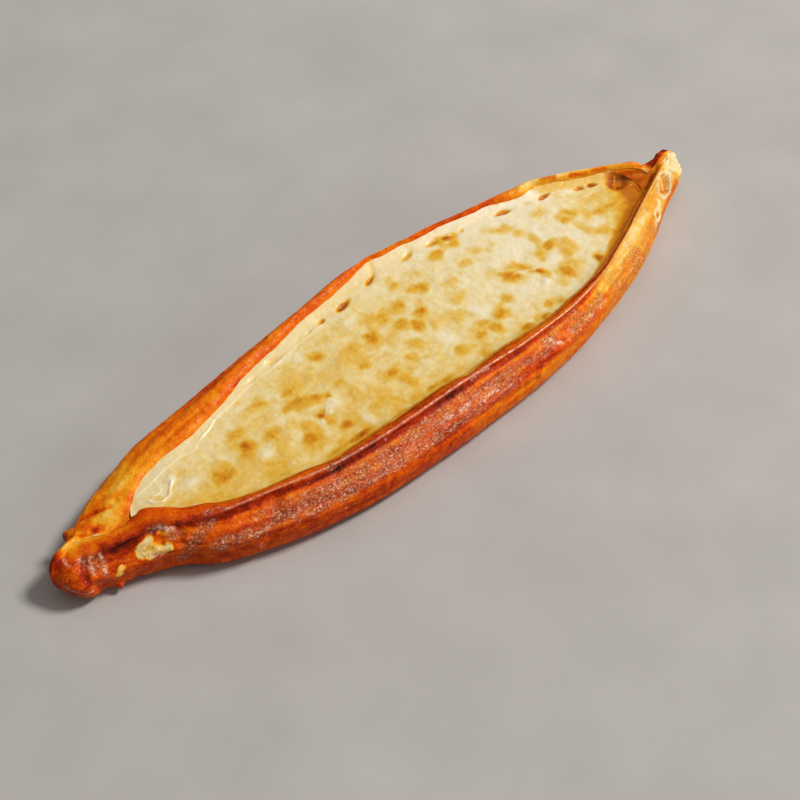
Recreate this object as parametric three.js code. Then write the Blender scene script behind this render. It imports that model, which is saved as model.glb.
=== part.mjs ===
// Cheese pide: a boat of leavened dough, its long edges folded inward over a layer of
// melted cheese and its two ends pinched shut, one into a round knob and one into a
// torn, notched tip. Millimetres, +Z up. +X runs along the boat towards the torn tip,
// +Y towards its low side, and the origin is under the middle, on the surface it lies on.
import * as THREE from 'three';

// ---- driving dimensions ----------------------------------------------------------
const KNOB_TIP_X = -202.5;          // rounded end of the knob
const TORN_TIP_X = 205;             // rounded end of the torn tip
const KNOB_ROUNDING = 11;           // length over which the knob closes
const TORN_ROUNDING = 9;            // length over which the torn tip closes
const CHEESE_START_X = -157;        // blunt tongue of cheese next to the knob
const CHEESE_END_X = 170;           // thin browned end of the cheese
const CHEESE_ROUNDING = 6;          // length over which each end of the cheese closes

const CRUST_STATIONS = 89;          // cross-sections from tip to tip
const CHEESE_STATIONS = 61;
const STEPS_PER_ANCHOR = 2;         // points from one anchor of a section to the next
const END_CROWDING = 0.25;          // share of the spacing that bunches towards the tips

const FOOT_WIDTH = 9;               // inset of the flat underside from the widest line
const FOOT_SHARE = 0.2;             // the same inset as a share of a narrow section
const LIP_DROP = 1.6;               // crest of the high side down to its inner lip
const GROOVE_DROP = 2.8;            // shallow groove just outside that crest
const FAR_LIP_DROP = 1.8;           // crest of the low side down to its inner lip
const LIP_UNDERCUT = 0.3;           // how far the high wall leans back under its lip
const WALL_CLEARANCE = 0.7;         // cheese to the inner faces of the crust
const FLOOR_CLEARANCE = 0.5;        // cheese to the floor of the boat
const NEAR_CHEESE_DROP = 3.2;       // crest of the high side down to the cheese beside it
const FAR_CHEESE_DROP = 2.6;        // crest of the low side down to the cheese beside it
const CLIMB_WIDTH = 6;              // strip over which the cheese climbs each wall
const CLIMB_SHARE = 0.2;            // the same strip as a share of a narrow filling
const EDGE_DROP = 0.3;              // how far the cheese rounds down at each wall
const EDGE_INSET = 0.2;
const SAG = 0.2;                    // dip along the middle of the cheese

// ---- plan and height curves: [x, value] keys joined by a smooth curve --------------
// The near side is the tall fold at -Y, the far side the low fold at +Y.
const nearEdge = smoothCurve([
  [-202.5, 2], [-197, -4], [-190, -6], [-183, -7], [-160, -15.5], [-151, -21],
  [-140, -30.5], [-120, -39.5], [-90, -49], [-50, -55.5], [-5, -57.5], [35, -57.5],
  [65, -55], [95, -49.4], [105, -47.4], [115, -44.9], [125, -42], [135, -38.8],
  [145, -35], [155, -30.2], [165, -25.2], [175, -19.9], [185, -15.9], [192, -13.5],
  [200, -9], [205, -3],
]);
const nearCrest = smoothCurve([
  [-202.5, 6], [-190, 5], [-177, 0.5], [-162, -5], [-150, -12], [-134, -20.5],
  [-111, -27], [-76, -36.8], [-45, -40.2], [-26, -41.1], [4, -42.4], [44, -45],
  [64, -45], [94, -41], [124, -31], [154, -19], [174, -11], [188, -5.5], [205, -1],
]);
// The lip swings out into a small hook where it closes off the tongue of cheese.
const nearLip = smoothCurve([
  [-202.5, 9], [-192, 12.4], [-184, 13.2], [-178, 10.5], [-171, 6], [-164, 4.5],
  [-157, 5.6],
  [-151, 3], [-140, -7], [-132, -11.8], [-127.5, -15.8], [-118, -20.6], [-108, -24],
  [-88, -29.3], [-77, -32.8], [-68, -33.7], [-45, -35], [-20, -36.1], [-5, -37.2],
  [7, -39.1], [20, -38.5], [40, -39.7], [58, -40.8], [76, -39.5], [95, -37.3],
  [108, -34.2], [125, -28.5], [155, -16], [175, -8.5], [184, -4.5], [205, 1],
]);
const farLip = smoothCurve([
  [-202.5, 10.2], [-192, 13.8], [-185, 15], [-178, 12.5], [-171, 8.3], [-163.5, 7.5],
  [-155, 14], [-148, 18.4], [-140, 21.6], [-132, 22.9], [-115, 24.5], [-104, 26.3],
  [-94, 28.6], [-82, 31.7], [-70, 35.4], [-57, 37.3], [-31, 42.3], [-13, 44.4],
  [3, 46.8], [15, 49.2], [22, 50.3], [32, 48.2], [40, 47.6], [48, 45.8], [65, 43.9],
  [79, 40.6], [95, 37.9], [111, 32.6], [117, 31], [123, 31.8], [132, 28.7], [141, 24.2],
  [147, 21], [160, 15], [170, 9], [178, 3.5], [184, -1], [205, 2.5],
]);
const farEdge = smoothCurve([
  [-202.5, 11.5], [-198, 14.6], [-190, 17.6], [-183, 20.6], [-176, 26], [-165, 32.5],
  [-150, 37], [-130, 41.8], [-118, 42.2], [-102, 43.2], [-77, 45.8], [-50, 48.3],
  [-31, 49.8], [-13, 52.4], [5, 54.4], [12, 53.8], [20, 52.6], [27, 52.2], [40, 50],
  [57, 47.4], [79, 43.3], [95, 41.6], [106, 41], [114, 39.9], [119, 39], [126, 35.8],
  [135, 31.3], [143, 28.6], [152, 22.8], [167, 15.2], [178, 11.4], [185, 6.8],
  [191, 4.8], [198, 5.4], [205, 3.5],
]);
const nearTop = smoothCurve([
  [-202.5, 16], [-190, 19], [-178, 20.5], [-165, 22.5], [-150, 25.5], [-120, 26.5],
  [-60, 27], [0, 27.5], [60, 27.5], [120, 26.5], [160, 25], [184, 24.2],
  [192, 23.4], [205, 20.6],
]);
const farTop = smoothCurve([
  [-202.5, 16], [-190, 19.5], [-180, 19], [-165, 20.5], [-145, 23], [-120, 25],
  [-60, 26], [0, 26.5], [60, 26.5], [120, 26], [160, 25.5], [176, 24.5], [184, 21],
  [192, 22.6], [205, 21.4],
]);
const underside = smoothCurve([
  [-202.5, 5], [-190, 2.4], [-176, 0.6], [-165, 0], [150, 0], [165, 0.8], [180, 3],
  [190, 5], [205, 8],
]);
const floorTop = smoothCurve([
  [-202.5, 15.6], [-192, 18.1], [-184, 18], [-172, 18.5], [-162, 18.5], [-157, 16],
  [-151, 9], [-138, 8], [140, 8], [154, 9.5], [164, 13.5], [170, 18.2], [177, 19.6],
  [184, 19.4], [189, 20.6], [205, 19.8],
]);
// Share of the lips' drop, and of the groove's, left where the fold is pinched shut.
const lipShare = smoothCurve([
  [-202.5, 0.15], [-192, 0.25], [-184, 0.8], [-178, 1], [184, 1], [192, 0.7], [205, 0.5],
]);
const cheeseLevel = smoothCurve([
  [-157, 19.4], [-140, 21], [-100, 22], [0, 22.8], [100, 22.4], [140, 21.5],
  [158, 20.5], [170, 19.6],
]);

// A monotone cubic through the keys: it never swings past the values it joins.
function smoothCurve(keys) {
  const last = keys.length - 1;
  const widths = [];
  const slopes = [];
  for (let i = 0; i < last; i += 1) {
    widths.push(keys[i + 1][0] - keys[i][0]);
    slopes.push((keys[i + 1][1] - keys[i][1]) / widths[i]);
  }
  const tangents = [slopes[0]];
  for (let i = 1; i < last; i += 1) {
    const before = slopes[i - 1];
    const after = slopes[i];
    const weightBefore = 2 * widths[i] + widths[i - 1];
    const weightAfter = widths[i] + 2 * widths[i - 1];
    const sameWay = before * after > 0;
    tangents.push(sameWay
      ? (weightBefore + weightAfter) / (weightBefore / before + weightAfter / after)
      : 0);
  }
  tangents.push(slopes[last - 1]);
  return (x) => {
    const inside = THREE.MathUtils.clamp(x, keys[0][0], keys[last][0]);
    let i = 0;
    while (i < last - 1 && inside >= keys[i + 1][0]) i += 1;
    const t = (inside - keys[i][0]) / widths[i];
    const startWeight = (1 + 2 * t) * (1 - t) ** 2;
    const endWeight = t * t * (3 - 2 * t);
    return startWeight * keys[i][1] + endWeight * keys[i + 1][1]
      + widths[i] * t * (1 - t) * ((1 - t) * tangents[i] - t * tangents[i + 1]);
  };
}

// ---- cross-sections: anchors in (y, z), clockwise seen from the knob's side ----------
// The round of anchors: base centre, out under the near fold, up its bulging face, over
// the groove and crest, down the inner lip to the floor, and the same way out at far.
function crustAnchors(x) {
  const base = underside(x);
  const floor = floorTop(x);
  const near = nearEdge(x);
  const far = farEdge(x);
  const crest = nearCrest(x);
  const lip = nearLip(x);
  const oppositeLip = farLip(x);
  const top = nearTop(x);
  const oppositeTop = farTop(x);
  const foot = Math.min(FOOT_WIDTH, FOOT_SHARE * (far - near));
  const face = crest - near;
  const farBand = far - oppositeLip;
  const mouth = oppositeLip - lip;
  const drop = lipShare(x);
  const nearHeight = top - base;
  const farHeight = oppositeTop - base;
  return [
    [(near + far) / 2, base],
    [near + foot, base],
    [near + 0.22 * foot, base + 0.12 * nearHeight],
    [near, base + 0.36 * nearHeight],
    [near + 0.06 * face, base + 0.66 * nearHeight],
    [near + 0.38 * face, base + 0.78 * nearHeight],
    [near + 0.80 * face, top - GROOVE_DROP * drop],
    [crest, top],
    [lip, top - LIP_DROP * drop],
    [lip - LIP_UNDERCUT, (top + floor) / 2],
    [lip + 0.12 * mouth, floor],
    [(lip + oppositeLip) / 2, floor],
    [oppositeLip - 0.15 * mouth, floor],
    [oppositeLip - 0.04 * mouth, (oppositeTop + floor) / 2],
    [oppositeLip, oppositeTop - FAR_LIP_DROP * drop],
    [oppositeLip + 0.45 * farBand, oppositeTop],
    [far - 0.08 * farBand, base + 0.82 * farHeight],
    [far, base + 0.5 * farHeight],
    [far - 0.25 * foot, base + 0.15 * farHeight],
    [far - foot, base],
  ];
}
const FIRST_INNER_ANCHOR = 9;
const LAST_INNER_ANCHOR = 13;

// The cheese lies in the boat clear of its walls. Its top is a little higher at both
// sides than along the middle, and climbs the low wall almost to the lip.
function cheeseAnchors(x) {
  const bottom = floorTop(x) + FLOOR_CLEARANCE;
  const level = cheeseLevel(x);
  const nearWall = nearLip(x) + WALL_CLEARANCE;
  const farWall = farLip(x) - WALL_CLEARANCE;
  const width = farWall - nearWall;
  const nearLevel = Math.max(level, nearTop(x) - NEAR_CHEESE_DROP);
  const farLevel = Math.max(level, farTop(x) - FAR_CHEESE_DROP);
  const slope = Math.min(CLIMB_WIDTH, CLIMB_SHARE * width);
  return [
    [nearWall + 0.14 * width, bottom],
    [nearWall, bottom + 0.55 * (nearLevel - bottom)],
    [nearWall + EDGE_INSET, nearLevel - EDGE_DROP],
    [nearWall + 0.5 * slope, THREE.MathUtils.lerp(level, nearLevel, 0.5)],
    [nearWall + 0.3 * width, level],
    [nearWall + 0.5 * width, level - SAG],
    [nearWall + 0.72 * width, level],
    [farWall - slope, THREE.MathUtils.lerp(level, farLevel, 0.35)],
    [farWall - EDGE_INSET, farLevel - EDGE_DROP],
    [farWall - 0.06 * width, bottom + 0.5 * (farLevel - bottom)],
    [farWall - 0.18 * width, bottom],
    [(nearWall + farWall) / 2, bottom],
  ];
}

// A closed section curve through its anchors, in the plane across the boat at x.
function sectionPoints(x, anchors) {
  const corners = anchors.map(([y, z]) => new THREE.Vector3(x, y, z));
  const curve = new THREE.CatmullRomCurve3(corners, true, 'centripetal');
  const count = anchors.length * STEPS_PER_ANCHOR;
  return Array.from({ length: count }, (_, k) => curve.getPoint(k / count));
}

function crustSection(x) {
  const points = sectionPoints(x, crustAnchors(x));
  points.forEach((point, k) => {
    const anchor = k / STEPS_PER_ANCHOR;
    const inside = anchor > FIRST_INNER_ANCHOR && anchor < LAST_INNER_ANCHOR;
    point.z = Math.max(point.z, inside ? floorTop(x) : underside(x));
  });
  return points;
}

function cheeseSection(x) {
  const points = sectionPoints(x, cheeseAnchors(x));
  points.forEach((point) => {
    point.z = Math.max(point.z, floorTop(x) + FLOOR_CLEARANCE);
  });
  return points;
}

// ---- lofts ---------------------------------------------------------------------------
// Shrinks a section towards its middle near a tip, as on a quarter of an ellipse.
function roundedScale(distance, rounding) {
  const left = Math.max(0, 1 - distance / rounding);
  return Math.sqrt(Math.max(0, 1 - left * left));
}

// One closed body: rings of points along X, closed by a single point at either end.
function loft(sectionAt, startX, endX, stations, startRounding, endRounding) {
  const positions = [];
  const triangles = [];
  const middle = (startX + endX) / 2;
  const halfLength = (endX - startX) / 2;
  let ringSize = 0;
  for (let s = 0; s < stations; s += 1) {
    const u = (2 * s) / (stations - 1) - 1;
    const spread = (1 - END_CROWDING) * u + END_CROWDING * Math.sin((u * Math.PI) / 2);
    const x = middle + halfLength * spread;
    const section = sectionAt(x);
    const centre = new THREE.Vector3();
    section.forEach((point) => centre.addScaledVector(point, 1 / section.length));
    if (s === 0 || s === stations - 1) {
      positions.push(...centre.toArray());
      continue;
    }
    const scale = Math.min(
      roundedScale(x - startX, startRounding),
      roundedScale(endX - x, endRounding),
    );
    section.forEach((point) => point.sub(centre).multiplyScalar(scale).add(centre));
    section.forEach((point) => positions.push(...point.toArray()));
    ringSize = section.length;
  }
  const rings = stations - 2;
  const lastPoint = 1 + rings * ringSize;
  for (let k = 0; k < ringSize; k += 1) {
    const next = (k + 1) % ringSize;
    triangles.push(0, 1 + k, 1 + next);
    for (let r = 0; r < rings - 1; r += 1) {
      const here = 1 + r * ringSize;
      const there = here + ringSize;
      triangles.push(here + k, there + k, here + next);
      triangles.push(here + next, there + k, there + next);
    }
    const lastRing = 1 + (rings - 1) * ringSize;
    triangles.push(lastPoint, lastRing + next, lastRing + k);
  }
  const geometry = new THREE.BufferGeometry();
  geometry.setAttribute('position', new THREE.Float32BufferAttribute(positions, 3));
  geometry.setIndex(triangles);
  geometry.computeVertexNormals();
  return geometry;
}

function makeCrust() {
  const dough = new THREE.MeshStandardMaterial({ color: 0xc8691f, roughness: 0.45, metalness: 0 });
  const geometry = loft(
    crustSection, KNOB_TIP_X, TORN_TIP_X, CRUST_STATIONS, KNOB_ROUNDING, TORN_ROUNDING,
  );
  const crust = new THREE.Mesh(geometry, dough);
  crust.name = 'crust';
  return crust;
}

function makeCheese() {
  const melted = new THREE.MeshStandardMaterial({ color: 0xead79a, roughness: 0.4, metalness: 0 });
  const geometry = loft(
    cheeseSection, CHEESE_START_X, CHEESE_END_X, CHEESE_STATIONS, CHEESE_ROUNDING, CHEESE_ROUNDING,
  );
  const cheese = new THREE.Mesh(geometry, melted);
  cheese.name = 'cheese_filling';
  return cheese;
}

const pide = new THREE.Group();
pide.add(makeCrust(), makeCheese());

// The origin goes under the centre of the footprint, at the height of the flat base.
const extent = new THREE.Box3().setFromObject(pide);
const footprintCentre = extent.getCenter(new THREE.Vector3());
pide.children.forEach((piece) => {
  piece.geometry.translate(-footprintCentre.x, -footprintCentre.y, -extent.min.z);
});

export default pide;
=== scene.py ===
"""The looks of a cheese pide: a boat of browned dough folded round melted cheese.

Lengths are in millimetres and the form is worked out in the part's drawing frame, with
+X along the boat towards the torn tip, +Y towards the low side and +Z up. The finished
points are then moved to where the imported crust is, in metres. A place on the crust is
given as (x, turn): turn counts the 20 anchors of a cross-section, from 0 under its
middle, out under the near fold to its crest at 7, over the lip at 8, across the floor
to the far lip at 14, over the far crest at 15 and back underneath.
"""

import math

import bpy
import numpy as np
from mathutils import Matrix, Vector


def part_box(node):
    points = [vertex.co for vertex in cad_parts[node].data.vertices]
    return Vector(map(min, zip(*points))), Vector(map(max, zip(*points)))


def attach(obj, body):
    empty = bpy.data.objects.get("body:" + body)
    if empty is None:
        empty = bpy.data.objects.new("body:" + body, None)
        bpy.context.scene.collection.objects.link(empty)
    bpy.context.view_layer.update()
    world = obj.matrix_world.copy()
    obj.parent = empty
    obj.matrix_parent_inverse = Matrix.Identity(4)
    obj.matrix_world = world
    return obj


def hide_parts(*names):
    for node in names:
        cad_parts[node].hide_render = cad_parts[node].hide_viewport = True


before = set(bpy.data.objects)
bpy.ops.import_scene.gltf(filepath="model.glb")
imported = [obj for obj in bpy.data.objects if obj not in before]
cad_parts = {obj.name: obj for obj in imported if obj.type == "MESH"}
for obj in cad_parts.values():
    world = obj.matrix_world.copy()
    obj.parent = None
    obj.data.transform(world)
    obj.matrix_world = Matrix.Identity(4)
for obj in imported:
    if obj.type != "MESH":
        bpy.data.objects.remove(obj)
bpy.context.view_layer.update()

MM = 0.001

# ---- driving dimensions, as in the part ----
KNOB_TIP_X = -202.5
TORN_TIP_X = 205.0
KNOB_ROUNDING = 11.0
TORN_ROUNDING = 9.0
CHEESE_START_X = -157.0
CHEESE_END_X = 170.0
CHEESE_ROUNDING = 6.0
FOOT_WIDTH = 9.0
FOOT_SHARE = 0.2
LIP_DROP = 1.6
GROOVE_DROP = 2.8
FAR_LIP_DROP = 1.8

# ---- fineness of the meshes ----
CRUST_STATIONS = 560
CHEESE_STATIONS = 520
TIP_STATIONS = 14                   # of them, on each rounded tip
# Steps from each anchor of a crust section to the next; the hidden floor has few.
CRUST_STEPS = (12, 6, 10, 14, 13, 10, 8, 10, 8, 4, 3, 3, 4, 8, 12, 10, 9, 9, 6, 12)
CHEESE_TOP_STEPS = 140
CHEESE_SIDE_STEPS = 6
CHEESE_BOTTOM_STEPS = 10


# ---- smooth curves ----
def smooth_curve(*keys):
    """A function of x: a monotone cubic through (x, value) keys, level beyond them."""
    xs, values = np.array(keys, float).T
    widths = np.diff(xs)
    slopes = np.diff(values) / widths
    tangents = np.zeros(len(xs))
    tangents[[0, -1]] = slopes[[0, -1]]
    for i in range(1, len(xs) - 1):
        if slopes[i - 1] * slopes[i] > 0:
            before = 2 * widths[i] + widths[i - 1]
            after = widths[i] + 2 * widths[i - 1]
            tangents[i] = (before + after) / (before / slopes[i - 1] + after / slopes[i])

    def value_at(x):
        inside = np.clip(np.asarray(x, float), xs[0], xs[-1])
        i = np.clip(np.searchsorted(xs, inside, side="right") - 1, 0, len(xs) - 2)
        t = (inside - xs[i]) / widths[i]
        start = (1 + 2 * t) * (1 - t) ** 2
        end = t * t * (3 - 2 * t)
        lean = widths[i] * t * (1 - t) * ((1 - t) * tangents[i] - t * tangents[i + 1])
        return start * values[i] + end * values[i + 1] + lean

    return value_at


def ramp(value, low, high):
    """0 below low, 1 above high and a smooth step between; low may be the larger."""
    t = np.clip((value - low) / (high - low), 0, 1)
    return t * t * (3 - 2 * t)


def window(value, low, high, edge):
    """1 between low and high, falling smoothly to 0 over edge outside them."""
    return ramp(value, low - edge, low) * ramp(value, high + edge, high)


def bell(value, middle, width):
    """1 at the middle, dying away smoothly to both sides."""
    return np.exp(-((value - middle) / width) ** 2)


def mixed(old, new, share):
    """The old value with a share of the new one."""
    return old + (new - old) * share


# ---- seeded noise ----
SEED = 20
DIRECTIONS = np.random.default_rng(SEED).normal(size=(256, 3))
DIRECTIONS /= np.linalg.norm(DIRECTIONS, axis=1, keepdims=True)
NOISE_GAIN = 1.7
LAYER_STRENGTH = 0.5                # of each finer layer, beside the one before
# Odd numbers that scramble a cell's place, the seed and their mixture.
CELL_FACTORS = np.array([374761393, 668265263, 2246822519], np.uint32)
SEED_FACTOR = 3266489917
MIXING_FACTOR = np.uint32(1274126177)


def scrambled(cells, seed):
    """A repeatable whole number for each lattice cell."""
    number = (cells.astype(np.uint32) * CELL_FACTORS).sum(axis=-1, dtype=np.uint32)
    number = number + np.uint32(seed * SEED_FACTOR % 2 ** 32)
    number = (number ^ (number >> np.uint32(13))) * MIXING_FACTOR
    return number ^ (number >> np.uint32(16))


def noise(points, size, seed):
    """Smooth noise from about -1 to 1, its swells size mm apart; size may be (x, y, z)."""
    scaled = np.asarray(points, float) / size
    cell = np.floor(scaled)
    inside = scaled - cell
    cell = cell.astype(np.int64)
    fade = inside ** 3 * (inside * (inside * 6 - 15) + 10)
    total = np.zeros(scaled.shape[:-1])
    for corner in np.ndindex(2, 2, 2):
        corner = np.array(corner)
        direction = DIRECTIONS[scrambled(cell + corner, seed) % len(DIRECTIONS)]
        weight = np.prod(np.where(corner == 1, fade, 1 - fade), axis=-1)
        total += weight * np.sum(direction * (inside - corner), axis=-1)
    return total * NOISE_GAIN


def layered(points, size, seed, layers=3):
    """Noise with finer and weaker noise added, still about -1 to 1."""
    strengths = LAYER_STRENGTH ** np.arange(layers)
    total = sum(strength * noise(points, np.asarray(size, float) / 2 ** layer, seed + layer)
                for layer, strength in enumerate(strengths))
    return total / strengths.sum() ** 0.5


def creased(points, size, seed):
    """Noise folded into ridges: 1 along thin wandering lines, 0 in between."""
    return 1 - np.clip(np.abs(layered(points, size, seed, 2)) * 2.2, 0, 1)


def bubbles(points, size, share, seed):
    """Round domes from 0 to 1 in a share of the cells of a grid, each of its own size."""
    smallest, extra = 0.25, 0.3
    scaled = np.asarray(points, float) / size
    home = np.floor(scaled).astype(np.int64)
    height = np.zeros(scaled.shape[:-1])
    for step in np.ndindex(3, 3, 3):
        cell = home + np.array(step) - 1
        number = scrambled(cell, seed)
        aside = np.stack([(number >> np.uint32(shift)) & 255 for shift in (0, 8, 16)], axis=-1)
        centre = cell + 0.2 + 0.6 * aside / 255.0
        chance = scrambled(cell, seed + 1) / 2.0 ** 32
        radius = smallest + extra * (scrambled(cell, seed + 2) / 2.0 ** 32)
        distance = np.linalg.norm(scaled - centre, axis=-1) / radius
        dome = np.clip(1 - distance ** 2, 0, 1) ** 1.5 * (chance < share)
        height = np.maximum(height, dome * radius / (smallest + extra))
    return height


# ---- the boat's plan and heights, as in the part: (x, value) ----
near_edge = smooth_curve(
    (-202.5, 2), (-197, -4), (-190, -6), (-183, -7), (-160, -15.5), (-151, -21), (-140, -30.5),
    (-120, -39.5), (-90, -49), (-50, -55.5), (-5, -57.5), (35, -57.5), (65, -55), (95, -49.4),
    (105, -47.4), (115, -44.9), (125, -42), (135, -38.8), (145, -35), (155, -30.2), (165, -25.2),
    (175, -19.9), (185, -15.9), (192, -13.5), (200, -9), (205, -3))
near_crest = smooth_curve(
    (-202.5, 6), (-190, 5), (-177, 0.5), (-162, -5), (-150, -12), (-134, -20.5), (-111, -27),
    (-76, -36.8), (-45, -40.2), (-26, -41.1), (4, -42.4), (44, -45), (64, -45), (94, -41),
    (124, -31), (154, -19), (174, -11), (188, -5.5), (205, -1))
near_lip = smooth_curve(
    (-202.5, 9), (-192, 12.4), (-184, 13.2), (-178, 10.5), (-171, 6), (-164, 4.5), (-157, 5.6),
    (-151, 3), (-140, -7), (-132, -11.8), (-127.5, -15.8), (-118, -20.6), (-108, -24),
    (-88, -29.3), (-77, -32.8), (-68, -33.7), (-45, -35), (-20, -36.1), (-5, -37.2), (7, -39.1),
    (20, -38.5), (40, -39.7), (58, -40.8), (76, -39.5), (95, -37.3), (108, -34.2), (125, -28.5),
    (155, -16), (175, -8.5), (184, -4.5), (205, 1))
far_lip = smooth_curve(
    (-202.5, 10.2), (-192, 13.8), (-185, 15), (-178, 12.5), (-171, 8.3), (-163.5, 7.5), (-155, 14),
    (-148, 18.4), (-140, 21.6), (-132, 22.9), (-115, 24.5), (-104, 26.3), (-94, 28.6), (-82, 31.7),
    (-70, 35.4), (-57, 37.3), (-31, 42.3), (-13, 44.4), (3, 46.8), (15, 49.2), (22, 50.3),
    (32, 48.2), (40, 47.6), (48, 45.8), (65, 43.9), (79, 40.6), (95, 37.9), (111, 32.6), (117, 31),
    (123, 31.8), (132, 28.7), (141, 24.2), (147, 21), (160, 15), (170, 9), (178, 3.5), (184, -1),
    (205, 2.5))
far_edge = smooth_curve(
    (-202.5, 11.5), (-198, 14.6), (-190, 17.6), (-183, 20.6), (-176, 26), (-165, 32.5), (-150, 37),
    (-130, 41.8), (-118, 42.2), (-102, 43.2), (-77, 45.8), (-50, 48.3), (-31, 49.8), (-13, 52.4),
    (5, 54.4), (12, 53.8), (20, 52.6), (27, 52.2), (40, 50), (57, 47.4), (79, 43.3), (95, 41.6),
    (106, 41), (114, 39.9), (119, 39), (126, 35.8), (135, 31.3), (143, 28.6), (152, 22.8),
    (167, 15.2), (178, 11.4), (185, 6.8), (191, 4.8), (198, 5.4), (205, 3.5))
near_top = smooth_curve(
    (-202.5, 16), (-190, 19), (-178, 20.5), (-165, 22.5), (-150, 25.5), (-120, 26.5), (-60, 27),
    (0, 27.5), (60, 27.5), (120, 26.5), (160, 25), (184, 24.2), (192, 23.4), (205, 20.6))
far_top = smooth_curve(
    (-202.5, 16), (-190, 19.5), (-180, 19), (-165, 20.5), (-145, 23), (-120, 25), (-60, 26),
    (0, 26.5), (60, 26.5), (120, 26), (160, 25.5), (176, 24.5), (184, 21), (192, 22.6),
    (205, 21.4))
underside = smooth_curve(
    (-202.5, 5), (-190, 2.4), (-176, 0.6), (-165, 0), (150, 0), (165, 0.8), (180, 3), (190, 5),
    (205, 8))
floor_top = smooth_curve(
    (-202.5, 15.6), (-192, 18.1), (-184, 18), (-172, 18.5), (-162, 18.5), (-157, 16), (-151, 9),
    (-138, 8), (140, 8), (154, 9.5), (164, 13.5), (170, 18.2), (177, 19.6), (184, 19.4),
    (189, 20.6), (205, 19.8))
lip_share = smooth_curve(
    (-202.5, 0.15), (-192, 0.25), (-184, 0.8), (-178, 1), (184, 1), (192, 0.7), (205, 0.5))
cheese_level = smooth_curve(
    (-157, 19.4), (-140, 21), (-100, 22), (0, 22.8), (100, 22.4), (140, 21.5), (158, 20.5),
    (170, 19.6))


# ---- lofted surfaces ----
def crust_anchors(x):
    """The anchors (y, z) of the crust's cross-section at each x, as (x, anchor, yz)."""
    base, floor = underside(x), floor_top(x)
    near, crest, lip = near_edge(x), near_crest(x), near_lip(x)
    far, other_lip = far_edge(x), far_lip(x)
    top, other_top = near_top(x), far_top(x)
    foot = np.minimum(FOOT_WIDTH, FOOT_SHARE * (far - near))
    face = crest - near
    far_band = far - other_lip
    mouth = other_lip - lip
    height = top - base
    far_height = other_top - base
    corners = (
        ((near + far) / 2, base),
        (near + foot, base),
        (near + 0.22 * foot, base + 0.12 * height),
        (near, base + 0.36 * height),
        (near + 0.06 * face, base + 0.66 * height),
        (near + 0.38 * face, base + 0.78 * height),
        (near + 0.80 * face, top - GROOVE_DROP * lip_share(x)),
        (crest, top),
        (lip, top - LIP_DROP * lip_share(x)),
        (lip - 0.3, (top + floor) / 2),
        (lip + 0.12 * mouth, floor),
        ((lip + other_lip) / 2, floor),
        (other_lip - 0.15 * mouth, floor),
        (other_lip - 0.04 * mouth, (other_top + floor) / 2),
        (other_lip, other_top - FAR_LIP_DROP * lip_share(x)),
        (other_lip + 0.45 * far_band, other_top),
        (far - 0.08 * far_band, base + 0.82 * far_height),
        (far, base + 0.5 * far_height),
        (far - 0.25 * foot, base + 0.15 * far_height),
        (far - foot, base),
    )
    return np.stack([np.stack(corner, axis=-1) for corner in corners], axis=-2)


def closed_curve(anchors, turns):
    """Points of the closed centripetal curve through each row of anchors, at the turns."""
    first = np.floor(turns).astype(int)
    t = (turns - first)[None, :, None]
    before, start, end, after = (anchors[:, (first + k) % anchors.shape[1]]
                                 for k in (-1, 0, 1, 2))

    def root_gap(a, b):
        return np.sqrt(np.linalg.norm(b - a, axis=-1, keepdims=True)) + 1e-6

    gap_before = root_gap(before, start)
    gap = root_gap(start, end)
    gap_after = root_gap(end, after)
    leave = gap * ((start - before) / gap_before - (end - before) / (gap_before + gap)
                   + (end - start) / gap)
    arrive = gap * ((end - start) / gap - (after - start) / (gap + gap_after)
                    + (after - end) / gap_after)
    return ((1 + 2 * t) * (1 - t) ** 2 * start + t * (1 - t) ** 2 * leave
            + t * t * (3 - 2 * t) * end - t * t * (1 - t) * arrive)


def tip_scale(x, start, end, start_rounding, end_rounding):
    """How wide the section at each x is, with both tips rounded as quarter ellipses."""
    left = np.maximum(np.clip(1 - (x - start) / start_rounding, 0, 1),
                      np.clip(1 - (end - x) / end_rounding, 0, 1))
    return np.sqrt(1 - left ** 2)[:, None, None]


def crust_points(x, turns):
    """The crust's plain form at each x and turn, as (x, turn, xyz)."""
    x, turns = np.asarray(x, float), np.asarray(turns, float)
    anchors = crust_anchors(x)
    flat = closed_curve(anchors, turns)
    inner = (turns > 9) & (turns < 13)
    lowest = np.where(inner, floor_top(x)[:, None], underside(x)[:, None])
    flat[..., 1] = np.maximum(flat[..., 1], lowest)
    centre = anchors.mean(axis=1, keepdims=True)
    scale = tip_scale(x, KNOB_TIP_X, TORN_TIP_X, KNOB_ROUNDING, TORN_ROUNDING)
    flat = centre + (flat - centre) * scale
    along = np.broadcast_to(x[:, None], flat.shape[:2])
    return np.concatenate([along[..., None], flat], axis=-1)


def stations(start, end, count, start_rounding, end_rounding):
    """Places along X, closer together on both rounded tips."""
    turn = np.linspace(0, math.pi / 2, TIP_STATIONS, endpoint=False)
    first = start + start_rounding * (1 - np.cos(turn))
    last = end - end_rounding * (1 - np.cos(turn))
    middle = np.linspace(start + start_rounding, end - end_rounding, count - 2 * TIP_STATIONS)
    return np.concatenate([first, middle, last[::-1]])


def steps_between(steps):
    """The turns of a section's points, with so many steps after each anchor."""
    return np.concatenate([i + np.arange(count) / count for i, count in enumerate(steps)])


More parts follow.
